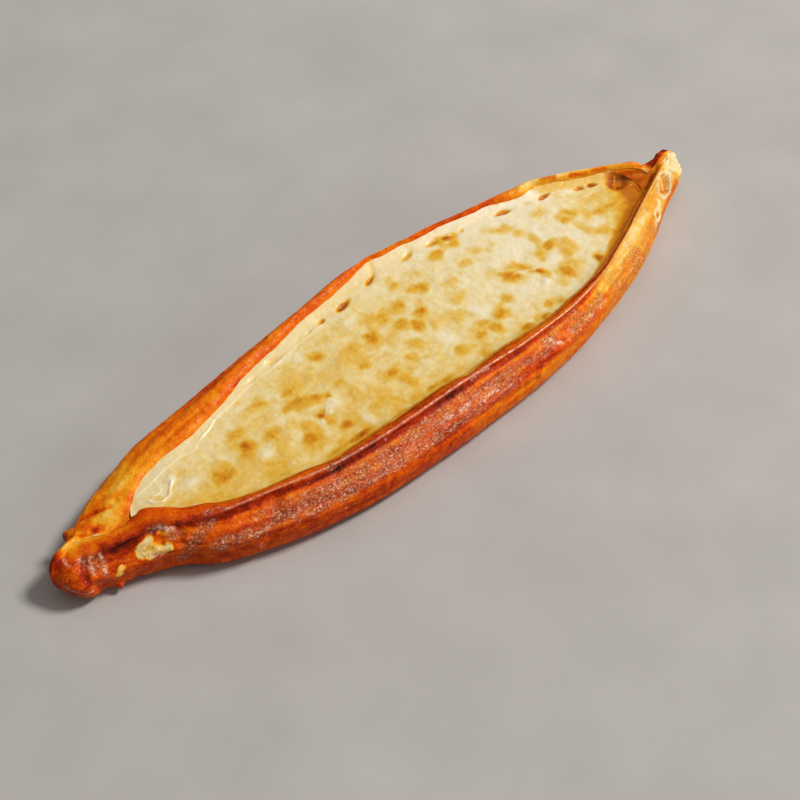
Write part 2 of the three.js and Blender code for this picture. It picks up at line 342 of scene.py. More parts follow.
def outward_normals(points):
    """Unit normals of a closed loft given as (station, step, xyz)."""
    along = np.gradient(points, axis=0)
    around = np.roll(points, -1, axis=1) - np.roll(points, 1, axis=1)
    normals = np.cross(along, around)
    normals /= np.linalg.norm(normals, axis=-1, keepdims=True) + 1e-9
    if np.sum(normals * (points - points.mean(axis=1, keepdims=True))) < 0:
        normals = -normals
    normals[0] = (-1, 0, 0)
    normals[-1] = (1, 0, 0)
    return normals


def closed_mesh(name, points, masks, material):
    """A Blender object from a closed loft in millimetres, with its masks as attributes."""
    def with_tips(values):
        """The loft's values in a row, its first and last rings drawn to a point."""
        inner = values[1:-1].reshape(-1, *values.shape[2:])
        return np.concatenate([[values[0].mean(axis=0)], inner, [values[-1].mean(axis=0)]])

    vertices = with_tips(points)
    rings, ring = len(points) - 2, points.shape[1]
    step = np.arange(ring)
    after = (step + 1) % ring
    first = 1 + np.arange(rings - 1)[:, None] * ring
    quads = np.stack([first + step, first + after, first + ring + after, first + ring + step],
                     axis=-1).reshape(-1, 4)
    last = 1 + (rings - 1) * ring
    start_fan = np.stack([0 * step, 1 + after, 1 + step], axis=-1)
    end_fan = np.stack([0 * step + len(vertices) - 1, last + step, last + after], axis=-1)
    mesh = bpy.data.meshes.new(name)
    faces = quads.tolist() + start_fan.tolist() + end_fan.tolist()
    mesh.from_pydata((vertices * MM).tolist(), [], faces)
    mesh.polygons.foreach_set("use_smooth", [True] * len(mesh.polygons))
    for mask, values in masks.items():
        attribute = mesh.attributes.new(mask, "FLOAT", "POINT")
        attribute.data.foreach_set("value", with_tips(np.clip(values, 0, 1)).astype(np.float32))
    mesh.materials.append(material)
    piece = bpy.data.objects.new(name, mesh)
    bpy.context.scene.collection.objects.link(piece)
    return piece


def nearness(points, path, reach):
    """1 on the path through the given points, falling to 0 at reach mm from it."""
    path = np.asarray(path, float)
    nearest = np.linalg.norm(points - path[0], axis=-1)
    for start, end in zip(path[:-1], path[1:]):
        run = end - start
        share = np.clip((points - start) @ run / (run @ run), 0, 1)
        gap = np.linalg.norm(points - start - share[..., None] * run, axis=-1)
        nearest = np.minimum(nearest, gap)
    return np.clip(1 - (nearest / reach) ** 2, 0, 1) ** 2


def spread(flat, x, y, length, width, degrees, ragged, seed):
    """Distance from a spot's middle, in its own half-sizes, with a ragged outline."""
    angle = math.radians(degrees)
    dx = flat[..., 0] - x
    dy = flat[..., 1] - y
    u = (dx * math.cos(angle) + dy * math.sin(angle)) / length
    v = (dy * math.cos(angle) - dx * math.sin(angle)) / width
    return np.hypot(u, v) * (1 + ragged * noise(flat, 0.9 * (length + width), seed))


# ---- the crust ----
# The near crest's line is white because a painted highlight runs along it; its ridge and gloss are
# real.
CREST_LINE = 7.05                   # the turn of the near crest's white, shining line
CRUST_MASKS = ("bake", "gloss", "grain", "skin", "pale", "fat")
KNOB_END_X = -186                   # from here to the tip the rim's frame is straight
NEAR_RIM_SHIFT = 200                # how far each side lies aside in the rim frame,
FAR_RIM_SHIFT = 225.8               # chosen so that both agree round the knob


class Crust:
    """The crust's plain form with the relief and the masks that are laid on it."""

    def __init__(self):
        x = stations(KNOB_TIP_X, TORN_TIP_X, CRUST_STATIONS, KNOB_ROUNDING, TORN_ROUNDING)
        turns = steps_between(CRUST_STEPS)
        self.plain = crust_points(x, turns)
        self.x = self.plain[..., 0]
        self.turn = np.broadcast_to(turns, self.x.shape)
        self.far_side = ramp(self.turn, 9.5, 12.5)
        for mask in ("relief", *CRUST_MASKS):
            setattr(self, mask, np.zeros(self.x.shape))
        # Where the fold is pinched shut, and where the floor rises to the cheese's end,
        # relief between the two lips only lifts it.
        pinched = ramp(self.x, -182, -187) + ramp(self.x, 184, 189)
        lifted = np.maximum(pinched * window(self.turn, 7.7, 14.3, 0.5),
                            ramp(self.x, 158, 162) * window(self.turn, 9.6, 12.9, 0.4))
        self.normals = mixed(outward_normals(self.plain), np.array([0, 0, 1]), lifted[..., None])
        # Here y is measured from the rim, so that folds follow it along the boat; the two
        # sides are far apart in that frame except round the knob, where they meet.
        held = np.maximum(self.x, KNOB_END_X)
        rim = np.where(self.turn < 11, near_edge(held) - NEAR_RIM_SHIFT,
                       far_edge(held) - FAR_RIM_SHIFT)
        self.from_rim = self.plain.copy()
        self.from_rim[..., 1] -= rim

    def rough(self, size, seed, layers=3):
        """Layered noise on the crust."""
        return layered(self.plain, size, seed, layers)

    def folds(self, size, seed, layers=3):
        """Layered noise that follows the rim; size is along, out from it and up."""
        return layered(self.from_rim, size, seed, layers)

    def mark(self, reach, *places, ragged=0.0, seed=0):
        """1 along the path through the places, 0 beyond reach; ragged roughens its edge."""
        path = np.array([crust_points([x], [turn])[0, 0] for x, turn in places])
        margin = (1 + 1.2 * ragged) * reach
        close = np.all((self.plain > path.min(axis=0) - margin)
                       & (self.plain < path.max(axis=0) + margin), axis=-1)
        points = self.plain[close]
        if ragged:
            shift = [noise(points, reach * 1.4, seed + k) for k in range(3)]
            points = points + ragged * reach * np.stack(shift, axis=-1)
        weight = np.zeros(self.x.shape)
        weight[close] = nearness(points, path, reach)
        return weight

    def add(self, values, marks, ragged, seed):
        """Adds marks to the relief or a mask: how much, reach, (x, turn)..."""
        for amount, reach, *places in marks:
            values += amount * self.mark(reach, *places, ragged=ragged, seed=seed)

    def cover(self, values, marks, ragged, seed):
        """Raises a mask to marks where it is lower: how strong, reach, (x, turn)..."""
        for share, reach, *places in marks:
            mark = share * self.mark(reach, *places, ragged=ragged, seed=seed)
            np.maximum(values, mark, out=values)


# Creases in the near roll and in the low side: height, reach and (x, turn)...
NEAR_CREASES = (
    (-0.8, 3, (-34, 3.9), (-11, 4), (16, 3.6), (34, 3.4)),
    (-0.5, 2.6, (30, 4.1), (52, 3.7), (76, 3.4)),
    (-0.7, 5, (-108, 6), (-113, 5), (-118, 4), (-121, 3.2)),
    (-0.5, 3, (-90, 3.3), (-72, 3), (-48, 3)),
)
FAR_CREASES = (
    (-0.9, 2.6, (-143, 15.3), (-120, 15.4), (-95, 15.5), (-72, 15.5), (-50, 15.4)),
    (-0.6, 2.2, (-160, 16), (-140, 16.1), (-115, 16.2)),
    (-0.5, 2, (-128, 14.6), (-112, 14.7), (-98, 14.6)),
)
# The rim of the broken blister and of the small hole beside the torn tip.
BLISTER_RIM = ((173, 5.7), (175.5, 6.4), (181, 6.6), (185.9, 6.2), (186.2, 5.2), (183, 4.5),
               (178.4, 4), (171.8, 4.6), (173, 5.7))
HOLE_RIM = ((163.2, 4.8), (160, 5), (157.8, 4.4), (159.5, 3.9), (162.8, 4), (163.2, 4.8))
# The knob, the neck band that runs from it to the lip, and the flap beside it.
KNOB_FORMS = (
    (-0.9, 3, (-187.5, 7), (-189, 6.2), (-191, 5), (-192.5, 3.8)),
    (1.3, 8, (-196.5, 5.5), (-196, 8), (-195.5, 14)),
    (0.9, 4, (-199, 15.4), (-200.5, 15.5)),
    (0.9, 5, (-187, 9), (-180, 8.3), (-172, 8), (-163, 7.9), (-154, 7.9)),
    (-1.4, 3, (-180, 6.6), (-173, 6.55), (-167, 6.55), (-161, 6.7), (-155, 6.9), (-150, 7)),
    (0.7, 2.6, (-181, 6), (-172, 5.9), (-163, 6), (-155, 6.2)),
    (-0.9, 1.6, (-178, 13.6), (-181, 14.4), (-184, 15), (-186.8, 15.8)),
    (-1, 1.8, (-176, 15.7), (-170, 15.3), (-163, 14.9), (-159, 14.8)),
    (0.8, 4.5, (-180, 15.9), (-172, 15.8), (-165, 15.7)),
    (0.7, 6, (-167, 14.6), (-160, 14.9)),
    (-0.8, 2, (-157.5, 8.3)),
    (0.6, 6.5, (-164, 5.6), (-160, 5)),
    (0.5, 2.4, (-156.5, 4.6)),
    (-0.7, 2.2, (-156, 6.1), (-158.5, 5.1)),
    (0.4, 2.2, (-177.5, 4.3), (-175.5, 4.6)),
    (-0.6, 3.5, (-150, 5.6), (-152, 4.4)),
    (0.35, 9, (-140, 5.2), (-132, 4.8)),
    # small buds of dough: on the far side of the neck, and under it
    (3.2, 4.2, (-182.6, 16.2), (-183.4, 16.2)),
    (2.4, 2.8, (-182.8, 16.5), (-183.8, 16.5)),
    (-2.2, 5.5, (-188.5, 3.4), (-185.8, 2.7)),
    (1.6, 3.4, (-180, 2.3)),
    (1.2, 2.2, (-179, 2.4)),
    (-1, 3.5, (-173.5, 3), (-171, 2.4)),
)
# The bulb of the torn tip, its pale dough, the broken blister and the hole.
TORN_FORMS = (
    (1.4, 5.5, (195, 14.6), (198, 13.6)),
    (0.9, 3, (190, 14.6), (193, 14.4)),
    (1.2, 5, (197, 7), (198.5, 6), (196.5, 4.8)),
    (0.9, 3, (191, 5.6), (193.5, 4.4)),
    (0.9, 1.5, *BLISTER_RIM),
    (-2, 4.4, (181.5, 5.6), (176, 4.9)),
    (0.6, 1.2, (181.5, 5.9), (177.5, 5)),
    (0.7, 2.6, (167.5, 5), (164.5, 4.7)),
    (0.8, 1.4, *HOLE_RIM),
    (-1.4, 1.8, (160.7, 4.35)),
    (0.6, 1.8, (156.7, 4.1)),
    (-0.5, 2, (187, 14), (186, 13)),
)
# The dark hollow where the cheese ends: x, y, half-length, half-width and degrees.
CORNER_HOLLOW = (162.5, 5.4, 7, 5.2, -12)
HOLLOW_DEPTH = 1.8


def lay_folds(crust):
    """The long folds, swellings and wrinkles of the baked dough."""
    near_face = window(crust.turn, 2.4, 6, 0.8)
    far_face = window(crust.turn, 15.2, 18.2, 0.8)
    crests = window(crust.turn, 6.8, 8.2, 0.6) + window(crust.turn, 13.8, 15.2, 0.6)
    outside = np.clip(near_face + far_face + crests, 0, 1)
    crust.relief += 0.55 * outside * noise(crust.plain, 46, 1)
    crust.relief += 0.45 * crust.folds((42, 6, 6), 5) * (near_face + 0.9 * far_face)
    crust.relief += 0.3 * crests * crust.folds((13, 9, 9), 9)
    pinches = creased(crust.from_rim, (30, 5, 5), 13)
    crust.relief -= 0.3 * ramp(pinches, 0.6, 1) * (near_face + far_face)
    crust.relief += 0.28 * bubbles(crust.plain, 5.5, 0.3, 17) * near_face
    crust.relief += 0.14 * crust.rough(3.2, 21, 2) * outside
    crust.relief += 0.25 * crust.rough(18, 23) * (1 - outside)


def lay_near_rim(crust):
    """The crest of the near side, the groove under it and the folds of its roll."""
    body = window(crust.x, -125, 165, 20)
    lumpy = 0.8 + 0.6 * crust.rough(5, 33, 2)
    crust.relief += 0.55 * bell(crust.turn, CREST_LINE, 0.17) * body * lumpy
    crust.relief -= 0.65 * window(crust.turn, 6.35, 6.6, 0.45) * body
    waver = crust.folds((17, 50, 50), 37)
    crust.relief += 0.55 * waver * window(crust.turn, 7.7, 8.6, 0.4) * body
    streaks = crust.folds((12, 2.2, 2.2), 39, 2)
    crust.relief += 0.22 * streaks * window(crust.turn, 3, 6, 0.6)
    crust.add(crust.relief, NEAR_CREASES, 0.3, 31)
    crust.relief += 0.6 * crust.mark(7, (-104, 5.6), (-96, 5.7), (-86, 5.6))


def lay_far_rim(crust):
    """The wide outer roll of the low side at the knob's end, and its thin crest beyond."""
    crust.add(crust.relief, FAR_CREASES, 0.35, 43)
    waver = crust.folds((15, 50, 50), 47)
    crust.relief += 0.5 * waver * window(crust.turn, 13.6, 14.4, 0.4)
    # The crest sinks to a notch before the torn tip.
    crust.relief -= 1.2 * crust.mark(6, (181.2, 14.2))


def lay_knob_end(crust):
    """The forms round the knob, and the puckers of dough on its neck."""
    crust.add(crust.relief, KNOB_FORMS, 0.25, 61)
    puckers = bubbles(crust.plain, 2.6, 0.5, 67)
    crust.relief += 0.5 * puckers * crust.mark(9, (-185, 5.6), (-181, 5.4))


def corner_hollow(points):
    """1 in the hollow that the crust and the cheese share, 0 outside it."""
    return ramp(spread(points * (1, 1, 0), *CORNER_HOLLOW, 0.3, 105), 1.25, 0.4)


def lay_torn_end(crust):
    """The torn tip, and the floor that meets the end of the cheese beside it."""
    x, turn = crust.x, crust.turn
    crust.add(crust.relief, TORN_FORMS, 0.2, 71)
    # The floor rises to the cheese from where the cheese begins to cover it.
    covered = ramp(x, 163.6, 165.8)
    level = cheese_level(np.minimum(x, CHEESE_END_X)) - 0.1
    rise = np.clip(level - floor_top(x), 0, 9)
    rise -= HOLLOW_DEPTH * corner_hollow(crust.plain) * ramp(CHEESE_END_X - x, 0, 3)
    crust.relief += rise * covered * window(turn, 9.7, 12.8, 0.6)
    # Beyond it the pinched tip is filled, and its dough is uneven.
    crust.relief += 1.1 * window(x, 179, 190, 3) * window(turn, 11.9, 13.5, 0.4)
    puddle = window(x, 166, 190, 3) * window(turn, 9, 13.2, 0.6)
    crust.relief += 0.35 * crust.rough(4, 145, 2) * puddle
    crust.relief += 1.2 * ramp(x, 185, 189) * window(turn, 8.4, 13.6, 0.5)
    torn = crust.mark(10, (196, 5.2), (197, 7.2))
    crust.relief += 1.1 * crust.rough(3, 75) * torn
    crust.relief += 1.3 * bubbles(crust.plain, 3, 0.6, 76) * torn
    crust.relief += 0.4 * bubbles(crust.plain, 2.2, 0.5, 77) * crust.mark(8, (163, 4), (158, 3.8))


# How browned both sides are along the boat, and what their lower band adds and the
# near side's upper band takes away.
near_bake = smooth_curve(
    (-202, 0.72), (-186, 0.66), (-150, 0.7), (-60, 0.7), (0, 0.67), (40, 0.62), (75, 0.55),
    (100, 0.45), (125, 0.38), (150, 0.32), (185, 0.3), (205, 0.2))
far_bake = smooth_curve(
    (-202, 0.72), (-186, 0.62), (-170, 0.5), (-150, 0.5), (-110, 0.56), (-60, 0.6),
    (0, 0.61), (30, 0.58), (60, 0.68), (95, 0.64), (112, 0.5), (122, 0.34), (150, 0.34),
    (170, 0.4), (185, 0.5), (205, 0.5))
lower_bake = smooth_curve(
    (-200, 0.04), (-100, 0), (-50, 0.03), (0, -0.05), (40, -0.08), (90, 0.05), (130, 0.08),
    (200, 0.12))
upper_pallor = smooth_curve(
    (-150, 0), (-110, 0.05), (60, 0.07), (110, 0.1), (150, 0.06), (200, 0))
# How strongly the band of glaze and the white line of the crest, a painted highlight, show along
# the boat.
glaze_shown = smooth_curve(
    (-203, 0.5), (-150, 0.6), (-60, 0.4), (0, 0.16), (70, 0.14), (110, 0.1), (205, 0.2))
crest_highlight_shown = smooth_curve(
    (-132, 0), (-124, 0.7), (-60, 0.7), (-20, 0.85), (90, 0.85), (140, 0.6), (180, 0.5),
    (186, 0))
# Browner and paler marks: how much, reach and (x, turn)...
BAKE_MARKS = (
    # knob, neck band and ridge
    (0.18, 3, (-187.8, 7), (-189.4, 6.2), (-191.4, 5), (-192.6, 4)),
    (-0.22, 5, (-189, 9), (-184, 8.2), (-176, 8)),
    (-0.14, 4, (-190, 14.6), (-184, 14)),
    (-0.16, 3, (-172, 7.9), (-164, 7.8)),
    (-0.1, 3, (-180, 7.9), (-174, 7.9)),
    (0.06, 8, (-125, 15.9), (-95, 15.9), (-70, 15.9)),
    # the dark line in the neck's crease is painted shadow
    (0.22, 4.2, (-181, 6.8), (-174.9, 6.9), (-169.4, 6.9), (-162.7, 6.95), (-156, 6.95)),
    (0.12, 6, (-178, 5.2), (-170, 6.4)),
    (0.16, 5, (-195, 7.4), (-197.5, 12), (-195.5, 15.6)),
    (-0.16, 1.4, (-193, 8.2), (-194.2, 6.9)),
    (0.16, 4, (-150, 6.8), (-140, 6.9), (-130, 6.6)),
    # the flap: gold, with brown spots and creases
    (-0.22, 7.5, (-169, 14.6), (-163, 14.8)),
    (-0.16, 6, (-158, 15.3), (-153, 15), (-146, 15)),
    (0.3, 2.8, (-174.6, 14.5), (-172.2, 14.6)),
    (0.26, 2, (-176, 15.7), (-170, 15.3), (-163, 14.9)),
    (0.3, 3.6, (-184.6, 16.5)),
    (0.24, 2.2, (-157.5, 8.3)),
    (0.12, 5, (-158, 14.2), (-153, 14.2)),
    (-0.35, 1.5, (-156.6, 6.4), (-154.6, 6)),
    # torn tip
    (0.4, 3.4, (186.5, 15.2), (191, 15.4), (197, 15.3), (201.5, 14.6)),
    (0.3, 4.2, (189, 14.2), (193, 14), (197, 14.2)),
    (-0.2, 2.6, (200, 13.2), (202, 12.4)),
    (-0.42, 8, (196, 7.2), (198.5, 5.6), (193, 5.4)),
    (0.24, 2, (190.6, 5), (192.6, 4.6)),
    (0.22, 1.6, (198.6, 6.2)),
    (0.2, 1.8, (196.2, 7.4), (194.6, 7)),
    (0.18, 1.4, (200.2, 5.2)),
    (0.2, 1.6, (195.2, 4.6), (197.5, 4.9)),
    (-0.4, 1.6, *BLISTER_RIM),
    (0.2, 3.6, (181.5, 5.6), (176.5, 5)),
    (-0.3, 0.9, (181.5, 5.9), (177.5, 5)),
    (-0.5, 2.8, (167.5, 5), (164.5, 4.7)),
    (-0.08, 5, (142, 5.9), (128, 5.8)),
    (0.05, 6, (166, 5.4), (154, 5.2)),
    (-0.08, 5, (-192, 7.8), (-186, 7.6), (-178, 7.9)),
    (-0.4, 1.4, *HOLE_RIM),
    (0.45, 1.6, (160.7, 4.35)),
    (-0.4, 1.8, (157.2, 4.2), (155.5, 3.9)),
    (0.24, 5, (189, 3.6), (180, 3.3), (170, 3.3), (160, 3.2)),
    (0.1, 5, (152, 5), (147, 4.6), (140, 4.4)),
    (0.08, 6, (131, 4.8), (120, 4.6)),
    (-0.1, 3, (155.6, 5.6), (144.4, 5.9), (129.1, 5.9), (104.7, 6), (93.5, 5.9)),
    # far crest: burnt spots on a pale band
    (-0.18, 2.4, (118, 14.9), (126, 14.9), (140, 15.2), (155, 15)),
    (0.4, 2.4, (130.5, 15), (137, 14.7)),
    (0.3, 1.6, (144, 14.3), (149, 14.3), (156, 14.4), (163, 14.4)),
    (0.25, 1.8, (174, 15.2), (180, 15.2)),
    (-0.35, 2, (181.6, 14.6), (182.6, 14.1)),
)
# Pale broken blisters on the neck of the knob: bake inside, reach and (x, turn)...
BROKEN_BLISTERS = (
    (0.12, 4, (-166.8, 5), (-163.6, 5.4), (-161.8, 5.6)),
    (0.12, 3.4, (-165, 4.6), (-161.8, 4.8)),
    (0.12, 3, (-160.8, 4.7), (-158.4, 4.45), (-156.8, 4.5)),
    (0.2, 2, (-179.2, 3.7), (-176.9, 4.2)),
)
# Dried, speckled skin on the near roll and the knob, its pale specks painted glints of the glaze:
# how strong, reach, (x, turn)...
DRY_SKIN_AND_GLINTS = (
    (0.8, 2.75, (-158.9, 7), (-154.5, 7.08), (-152.8, 6.67), (-153.8, 5.42), (-149.4, 5.75)),
    (0.9, 3.75, (-153.1, 3.42), (-148, 4.33), (-142.3, 5.5), (-137.2, 6.25)),
    (0.9, 4.5, (-140.6, 4), (-133.1, 4.33), (-122.9, 4.33), (-113.1, 4.67), (-105.9, 4.5)),
    (0.85, 7.5, (-111, 5.17), (-98.8, 5.17), (-88.6, 5.17), (-79.1, 5.2), (-64.1, 5.2),
     (-49.2, 5.3)),
    (0.9, 3, (-101.5, 4.25), (-95.4, 4.25), (-87.6, 4.25), (-77.7, 4.42)),
    (1, 2.25, (-82.1, 6.83), (-76, 6.9), (-70.6, 7)),
    (0.6, 1.75, (-136.2, 7.25), (-130, 7.33)),
    (0.7, 4.75, (-44.8, 5.75), (-29.8, 5.75), (-15.2, 5.92), (-3.3, 6)),
    (0.9, 2.5, (-37, 5.33), (-24.1, 5.33), (-15.9, 5.25)),
    (0.7, 3.5, (6.2, 5.25), (16, 5.33), (25.9, 5.42), (36.1, 5.33)),
    (0.8, 2.75, (34.4, 5.17), (46.6, 5.17)),
    (0.9, 4.5, (46.6, 5.58), (52.7, 5.5), (55.4, 6)),
    (0.4, 4.25, (57.1, 6.17), (67.7, 6), (72.4, 5.67)),
    (0.75, 5.25, (64.6, 4.7), (78.2, 4.8), (91.1, 5)),
    (0.5, 4.25, (103, 5), (108, 4.2)),
    (0.55, 5.75, (120.7, 4.9), (128, 4.8)),
    (0.5, 4.5, (137.6, 4.7), (143, 4.9)),
    (0.9, 3, (-187.5, 6.8), (-186.2, 6.2), (-186.8, 5.4)),
    (0.6, 4, (-184, 6.2), (-182, 6), (-183.5, 4.8)),
    (0.5, 2.75, (-163.5, 4), (-158, 4)),
)
# White edges and crumbs of that skin, and painted glints, highlights and rim light.
FLECKS_AND_GLINTS = (
    (0.9, 1.3, (-10.8, 5.17), (-4.7, 5.25)),
    (0.8, 1.2, (-23, 5.25), (-16, 5.2)),
    (0.8, 1.3, (-1, 4.75), (5.8, 4.92), (10.9, 4.83)),
    (0.9, 1.5, (51.5, 5.4), (53, 5.1), (55.4, 4.67)),
    (0.7, 1.2, (3.1, 6.67), (7.9, 6.83), (14, 6.75)),
    (1, 1.4, (-127.7, 7.08)),
    (0.7, 1.2, (79.2, 4.5)),
    (0.7, 1.2, (60.2, 4.33)),
    (0.9, 1, (-185.1, 6.75), (-187, 5.5), (-187.8, 4.9)),
    (0.9, 0.9, (-180.8, 6.7), (-181.3, 5.9)),
    (0.7, 2.2, (-156, 7), (-153.5, 6.6), (-151.5, 6.2)),
    (0.9, 1, (-181.7, 5.4), (-183.4, 4.5)),
    (0.8, 1, (-160.8, 4.3), (-163.5, 4.1)),
    # white streaks along the seam: pale dough edges with painted highlights
    (1, 0.7, (-174.6, 11.8), (-176.4, 11.9), (-178.4, 12.4)),
    (0.9, 0.5, (-169.8, 11.2), (-171.6, 11.3), (-173, 11.4)),
    # a painted rim of light under the knob
    (0.7, 0.7, (-199.8, 4.4), (-198.2, 3.6), (-195.4, 3.15), (-191.5, 3.1)),
    (0.8, 0.7, (-193.4, 7.8), (-194.4, 7)),
    (0.6, 1.4, (88, 4.5), (93, 4.4)),
    (0.5, 0.9, (119, 4.2), (121.5, 4)),
    (0.5, 0.9, (113, 5.4), (115, 5.2)),
)


def brown_sides(crust):
    """The browning of both sides and the underside, in bands along the boat."""
    x, turn = crust.x, crust.turn
    bake = mixed(near_bake(x), far_bake(x), crust.far_side)
    underneath = ramp(turn, 1.4, 0.6) + ramp(turn, 18.8, 19.4)
    bake = mixed(bake, 0.45 + 0.15 * crust.rough(16, 89, 4), underneath)
    lower = window(turn, 2.2, 3.6, 0.7)
    bake += lower * lower_bake(x)
    bake -= window(turn, 5.2, 6.5, 0.5) * upper_pallor(x)
    bake += mixed(0.12, 0.07, lower) * crust.folds((34, 4, 5), 41)
    bake += 0.06 * crust.rough(5, 45, 2)
    bake += 0.06 * window(turn, 4.1, 5.6, 0.4) * window(x, -20, 78, 15)
    # The groove under the near crest is painted darker as shade, with a paler line below it
    # painted as the highlight on the swelling there.
    grooved = window(x, -120, 80, 20)
    bake += 0.22 * window(turn, 6.15, 6.55, 0.4) * grooved
    bake -= 0.12 * bell(turn, 5.95, 0.14) * grooved
    strokes = crust.folds((24, 1.6, 2.2), 127, 2)
    bake += 0.12 * strokes * window(turn, 4, 6.4, 0.8) * window(x, -130, 110, 30)
    crust.bake = bake


def soak_crust(crust):
    """Dough soaked with fat: beside the cheese, on the near face and round its end, with painted
    shade at the foot of the corner's wall and painted light on the pinched tip.
    """
    x, turn = crust.x, crust.turn
    opening = window(x, -120, 178, 20)
    inner_line = bell(turn, 7.55, 0.18) * ramp(x, 40, 110)
    crust.bake += 0.45 * inner_line * opening
    beside = 0.75 * window(turn, 7.7, 9.6, 0.35) * opening * (1 - inner_line)
    face = window(turn, 3.2, 6.8, 0.5) * ramp(x, 80, 115) * ramp(x, 184, 172)
    face *= np.clip(0.3 + 0.35 * crust.rough(9, 147, 2), 0, 1)
    corner = window(x, 150, 187, 4) * window(turn, 8.6, 13.9, 0.5)
    crust.fat = np.maximum(beside, face)
    crust.fat = np.maximum(crust.fat, mixed(0.9, 0.5, ramp(turn, 11.6, 12.6)) * corner)
    # the corner's wall is paler at its top and browner at its foot: painted shade
    golden = 0.62 - 0.26 * ramp(turn, 12.2, 13.4) + 0.06 * ramp(turn, 10.6, 9.4)
    crust.bake = mixed(crust.bake, golden + 0.16 * crust.rough(5, 91), corner)
    # the pinched torn tip is paler dough, painted paler still as light that lifts the slit's shade
    pinched = window(x, 186, 206, 3) * window(turn, 8.2, 13, 0.4)
    crust.bake = mixed(crust.bake, 0.26, pinched)


def lay_blisters(crust):
    """Blisters that have broken and show pale dough inside a crisp edge."""
    mottle = 0.09 * crust.rough(3, 137, 2)
    for level, reach, *places in BROKEN_BLISTERS:
        near = crust.mark(reach, *places, ragged=0.28, seed=135)
        rim = ramp(near, 0.1, 0.24)
        inside = ramp(near, 0.24, 0.36)
        shown = level + mottle * inside + 0.3 * (rim - inside)
        crust.bake = mixed(crust.bake, shown, rim)


def bake_crust(crust):
    """Where the crust is pale, golden, red-brown or burnt."""
    brown_sides(crust)
    soak_crust(crust)
    crust.add(crust.bake, BAKE_MARKS, 0.35, 93)
    torn = crust.mark(9, (196.5, 5.6), (197.5, 7.2))
    crust.bake += 0.24 * ramp(crust.rough(3.2, 155, 2), 0.05, 0.4) * torn
    crust.fat *= ramp(crust.bake, 0.14, 0.28)
    lay_blisters(crust)
    # pale specks on the knob's shoulder are painted glints
    speckled = bubbles(crust.plain, 2.4, 0.45, 95)
    crust.bake -= 0.35 * speckled * crust.mark(8, (-186, 5.6), (-182, 5.2))


def glaze_crust(crust):
    """Where the glaze shines, and where the dough under it is grainy."""
    x, turn = crust.x, crust.turn
    band = window(turn, 4.3, 5.4, 0.45) * glaze_shown(x)
    gloss = 0.03 + band * (0.25 + 0.35 * crust.folds((30, 8, 8), 51))
    gloss = mixed(gloss + 0.9 * bell(turn, CREST_LINE, 0.22), 0.06, crust.far_side)
    crust.gloss = np.maximum(gloss, 0.25 * ramp(x, -150, -175) * ramp(turn, 13.5, 9))
    crust.grain = 0.25 + 0.45 * ramp(crust.folds((34, 7, 9), 55), -0.3, 0.4)
    crust.grain *= mixed(1, 0.5, crust.far_side)
    crust.grain *= 1 - 0.7 * window(turn, 1.8, 3.9, 0.5)
    crust.grain = mixed(crust.grain, 0.05, bell(turn, CREST_LINE, 0.4))


def lay_skin_and_glints(crust):
    """Patches of dried, speckled skin whose pale specks are painted glints of the glaze."""
    x, turn = crust.x, crust.turn
    crust.cover(crust.skin, DRY_SKIN_AND_GLINTS, 0.45, 111)
    streaks = ramp(crust.folds((24, 5, 5), 149), -0.35, 0.45)
    broad = window(turn, 4.3, 5.5, 0.4) * window(x, -112, 18, 12) * (0.2 + 0.6 * streaks)
    crust.skin = np.maximum(crust.skin, broad)
    crust.skin *= 0.75 + 0.5 * crust.rough(4, 113)
    crust.skin *= 1 - 0.9 * window(turn, 6.2, 6.85, 0.3) * window(x, -70, 60, 15)
    blotches = 0.14 + 0.34 * ramp(crust.rough(11, 139, 2), -0.5, 0.6)
    dull_face = window(turn, 3.4, 6.6, 0.6) * ramp(x, 85, 115) * blotches
    crust.skin = np.maximum(crust.skin, dull_face)


def lay_flecks_and_highlights(crust):
    """White flecks of the skin with painted glints among them, and the near crest's white line, a
    painted highlight.
    """
    x, turn = crust.x, crust.turn
    crust.cover(crust.pale, FLECKS_AND_GLINTS, 0.5, 115)
    # scattered white dots on the roll are painted glints
    dotted = bubbles(crust.plain, 2.6, 0.35, 141) * window(turn, 2.8, 6.6, 0.5)
    dotted *= window(x, -150, 100, 15) * ramp(crust.rough(16, 143, 2), -0.3, 0.3)
    crust.pale = np.maximum(crust.pale, 0.45 * ramp(dotted, 0.25, 0.6))
    # The white line along the near crest is a painted highlight.
    line = bell(turn - 0.06 * crust.rough(12, 117, 2), 7.02, 0.1)
    lumpy = 0.75 + 0.5 * crust.rough(2.5, 119, 2)
    crust.pale = np.maximum(crust.pale, line * lumpy * crest_highlight_shown(x))


def make_crust(place):
    crust = Crust()
    for lay in (lay_folds, lay_near_rim, lay_far_rim, lay_knob_end, lay_torn_end, bake_crust,
                glaze_crust, lay_skin_and_glints, lay_flecks_and_highlights):
        lay(crust)
    points = crust.plain + crust.normals * crust.relief[..., None] + place
    # No fold reaches below what the crust stands on.
    points[..., 2] = np.maximum(points[..., 2], 0)
    masks = {mask: getattr(crust, mask) for mask in CRUST_MASKS}
    return closed_mesh("baked_crust", points, masks, baked_dough())


# ---- the cheese ----
SINK = 0.5                          # how far the cheese reaches into the crust
TONGUE_REACH = 2.0                  # and how much further under the neck of the knob
NEAR_WALL_DROP = 3.2                # how far under the crests it climbs both walls
FAR_WALL_DROP = 2.6
CLIMB_WIDTH = 7.0                   # over this width, or a share of the opening
CLIMB_SHARE = 0.22
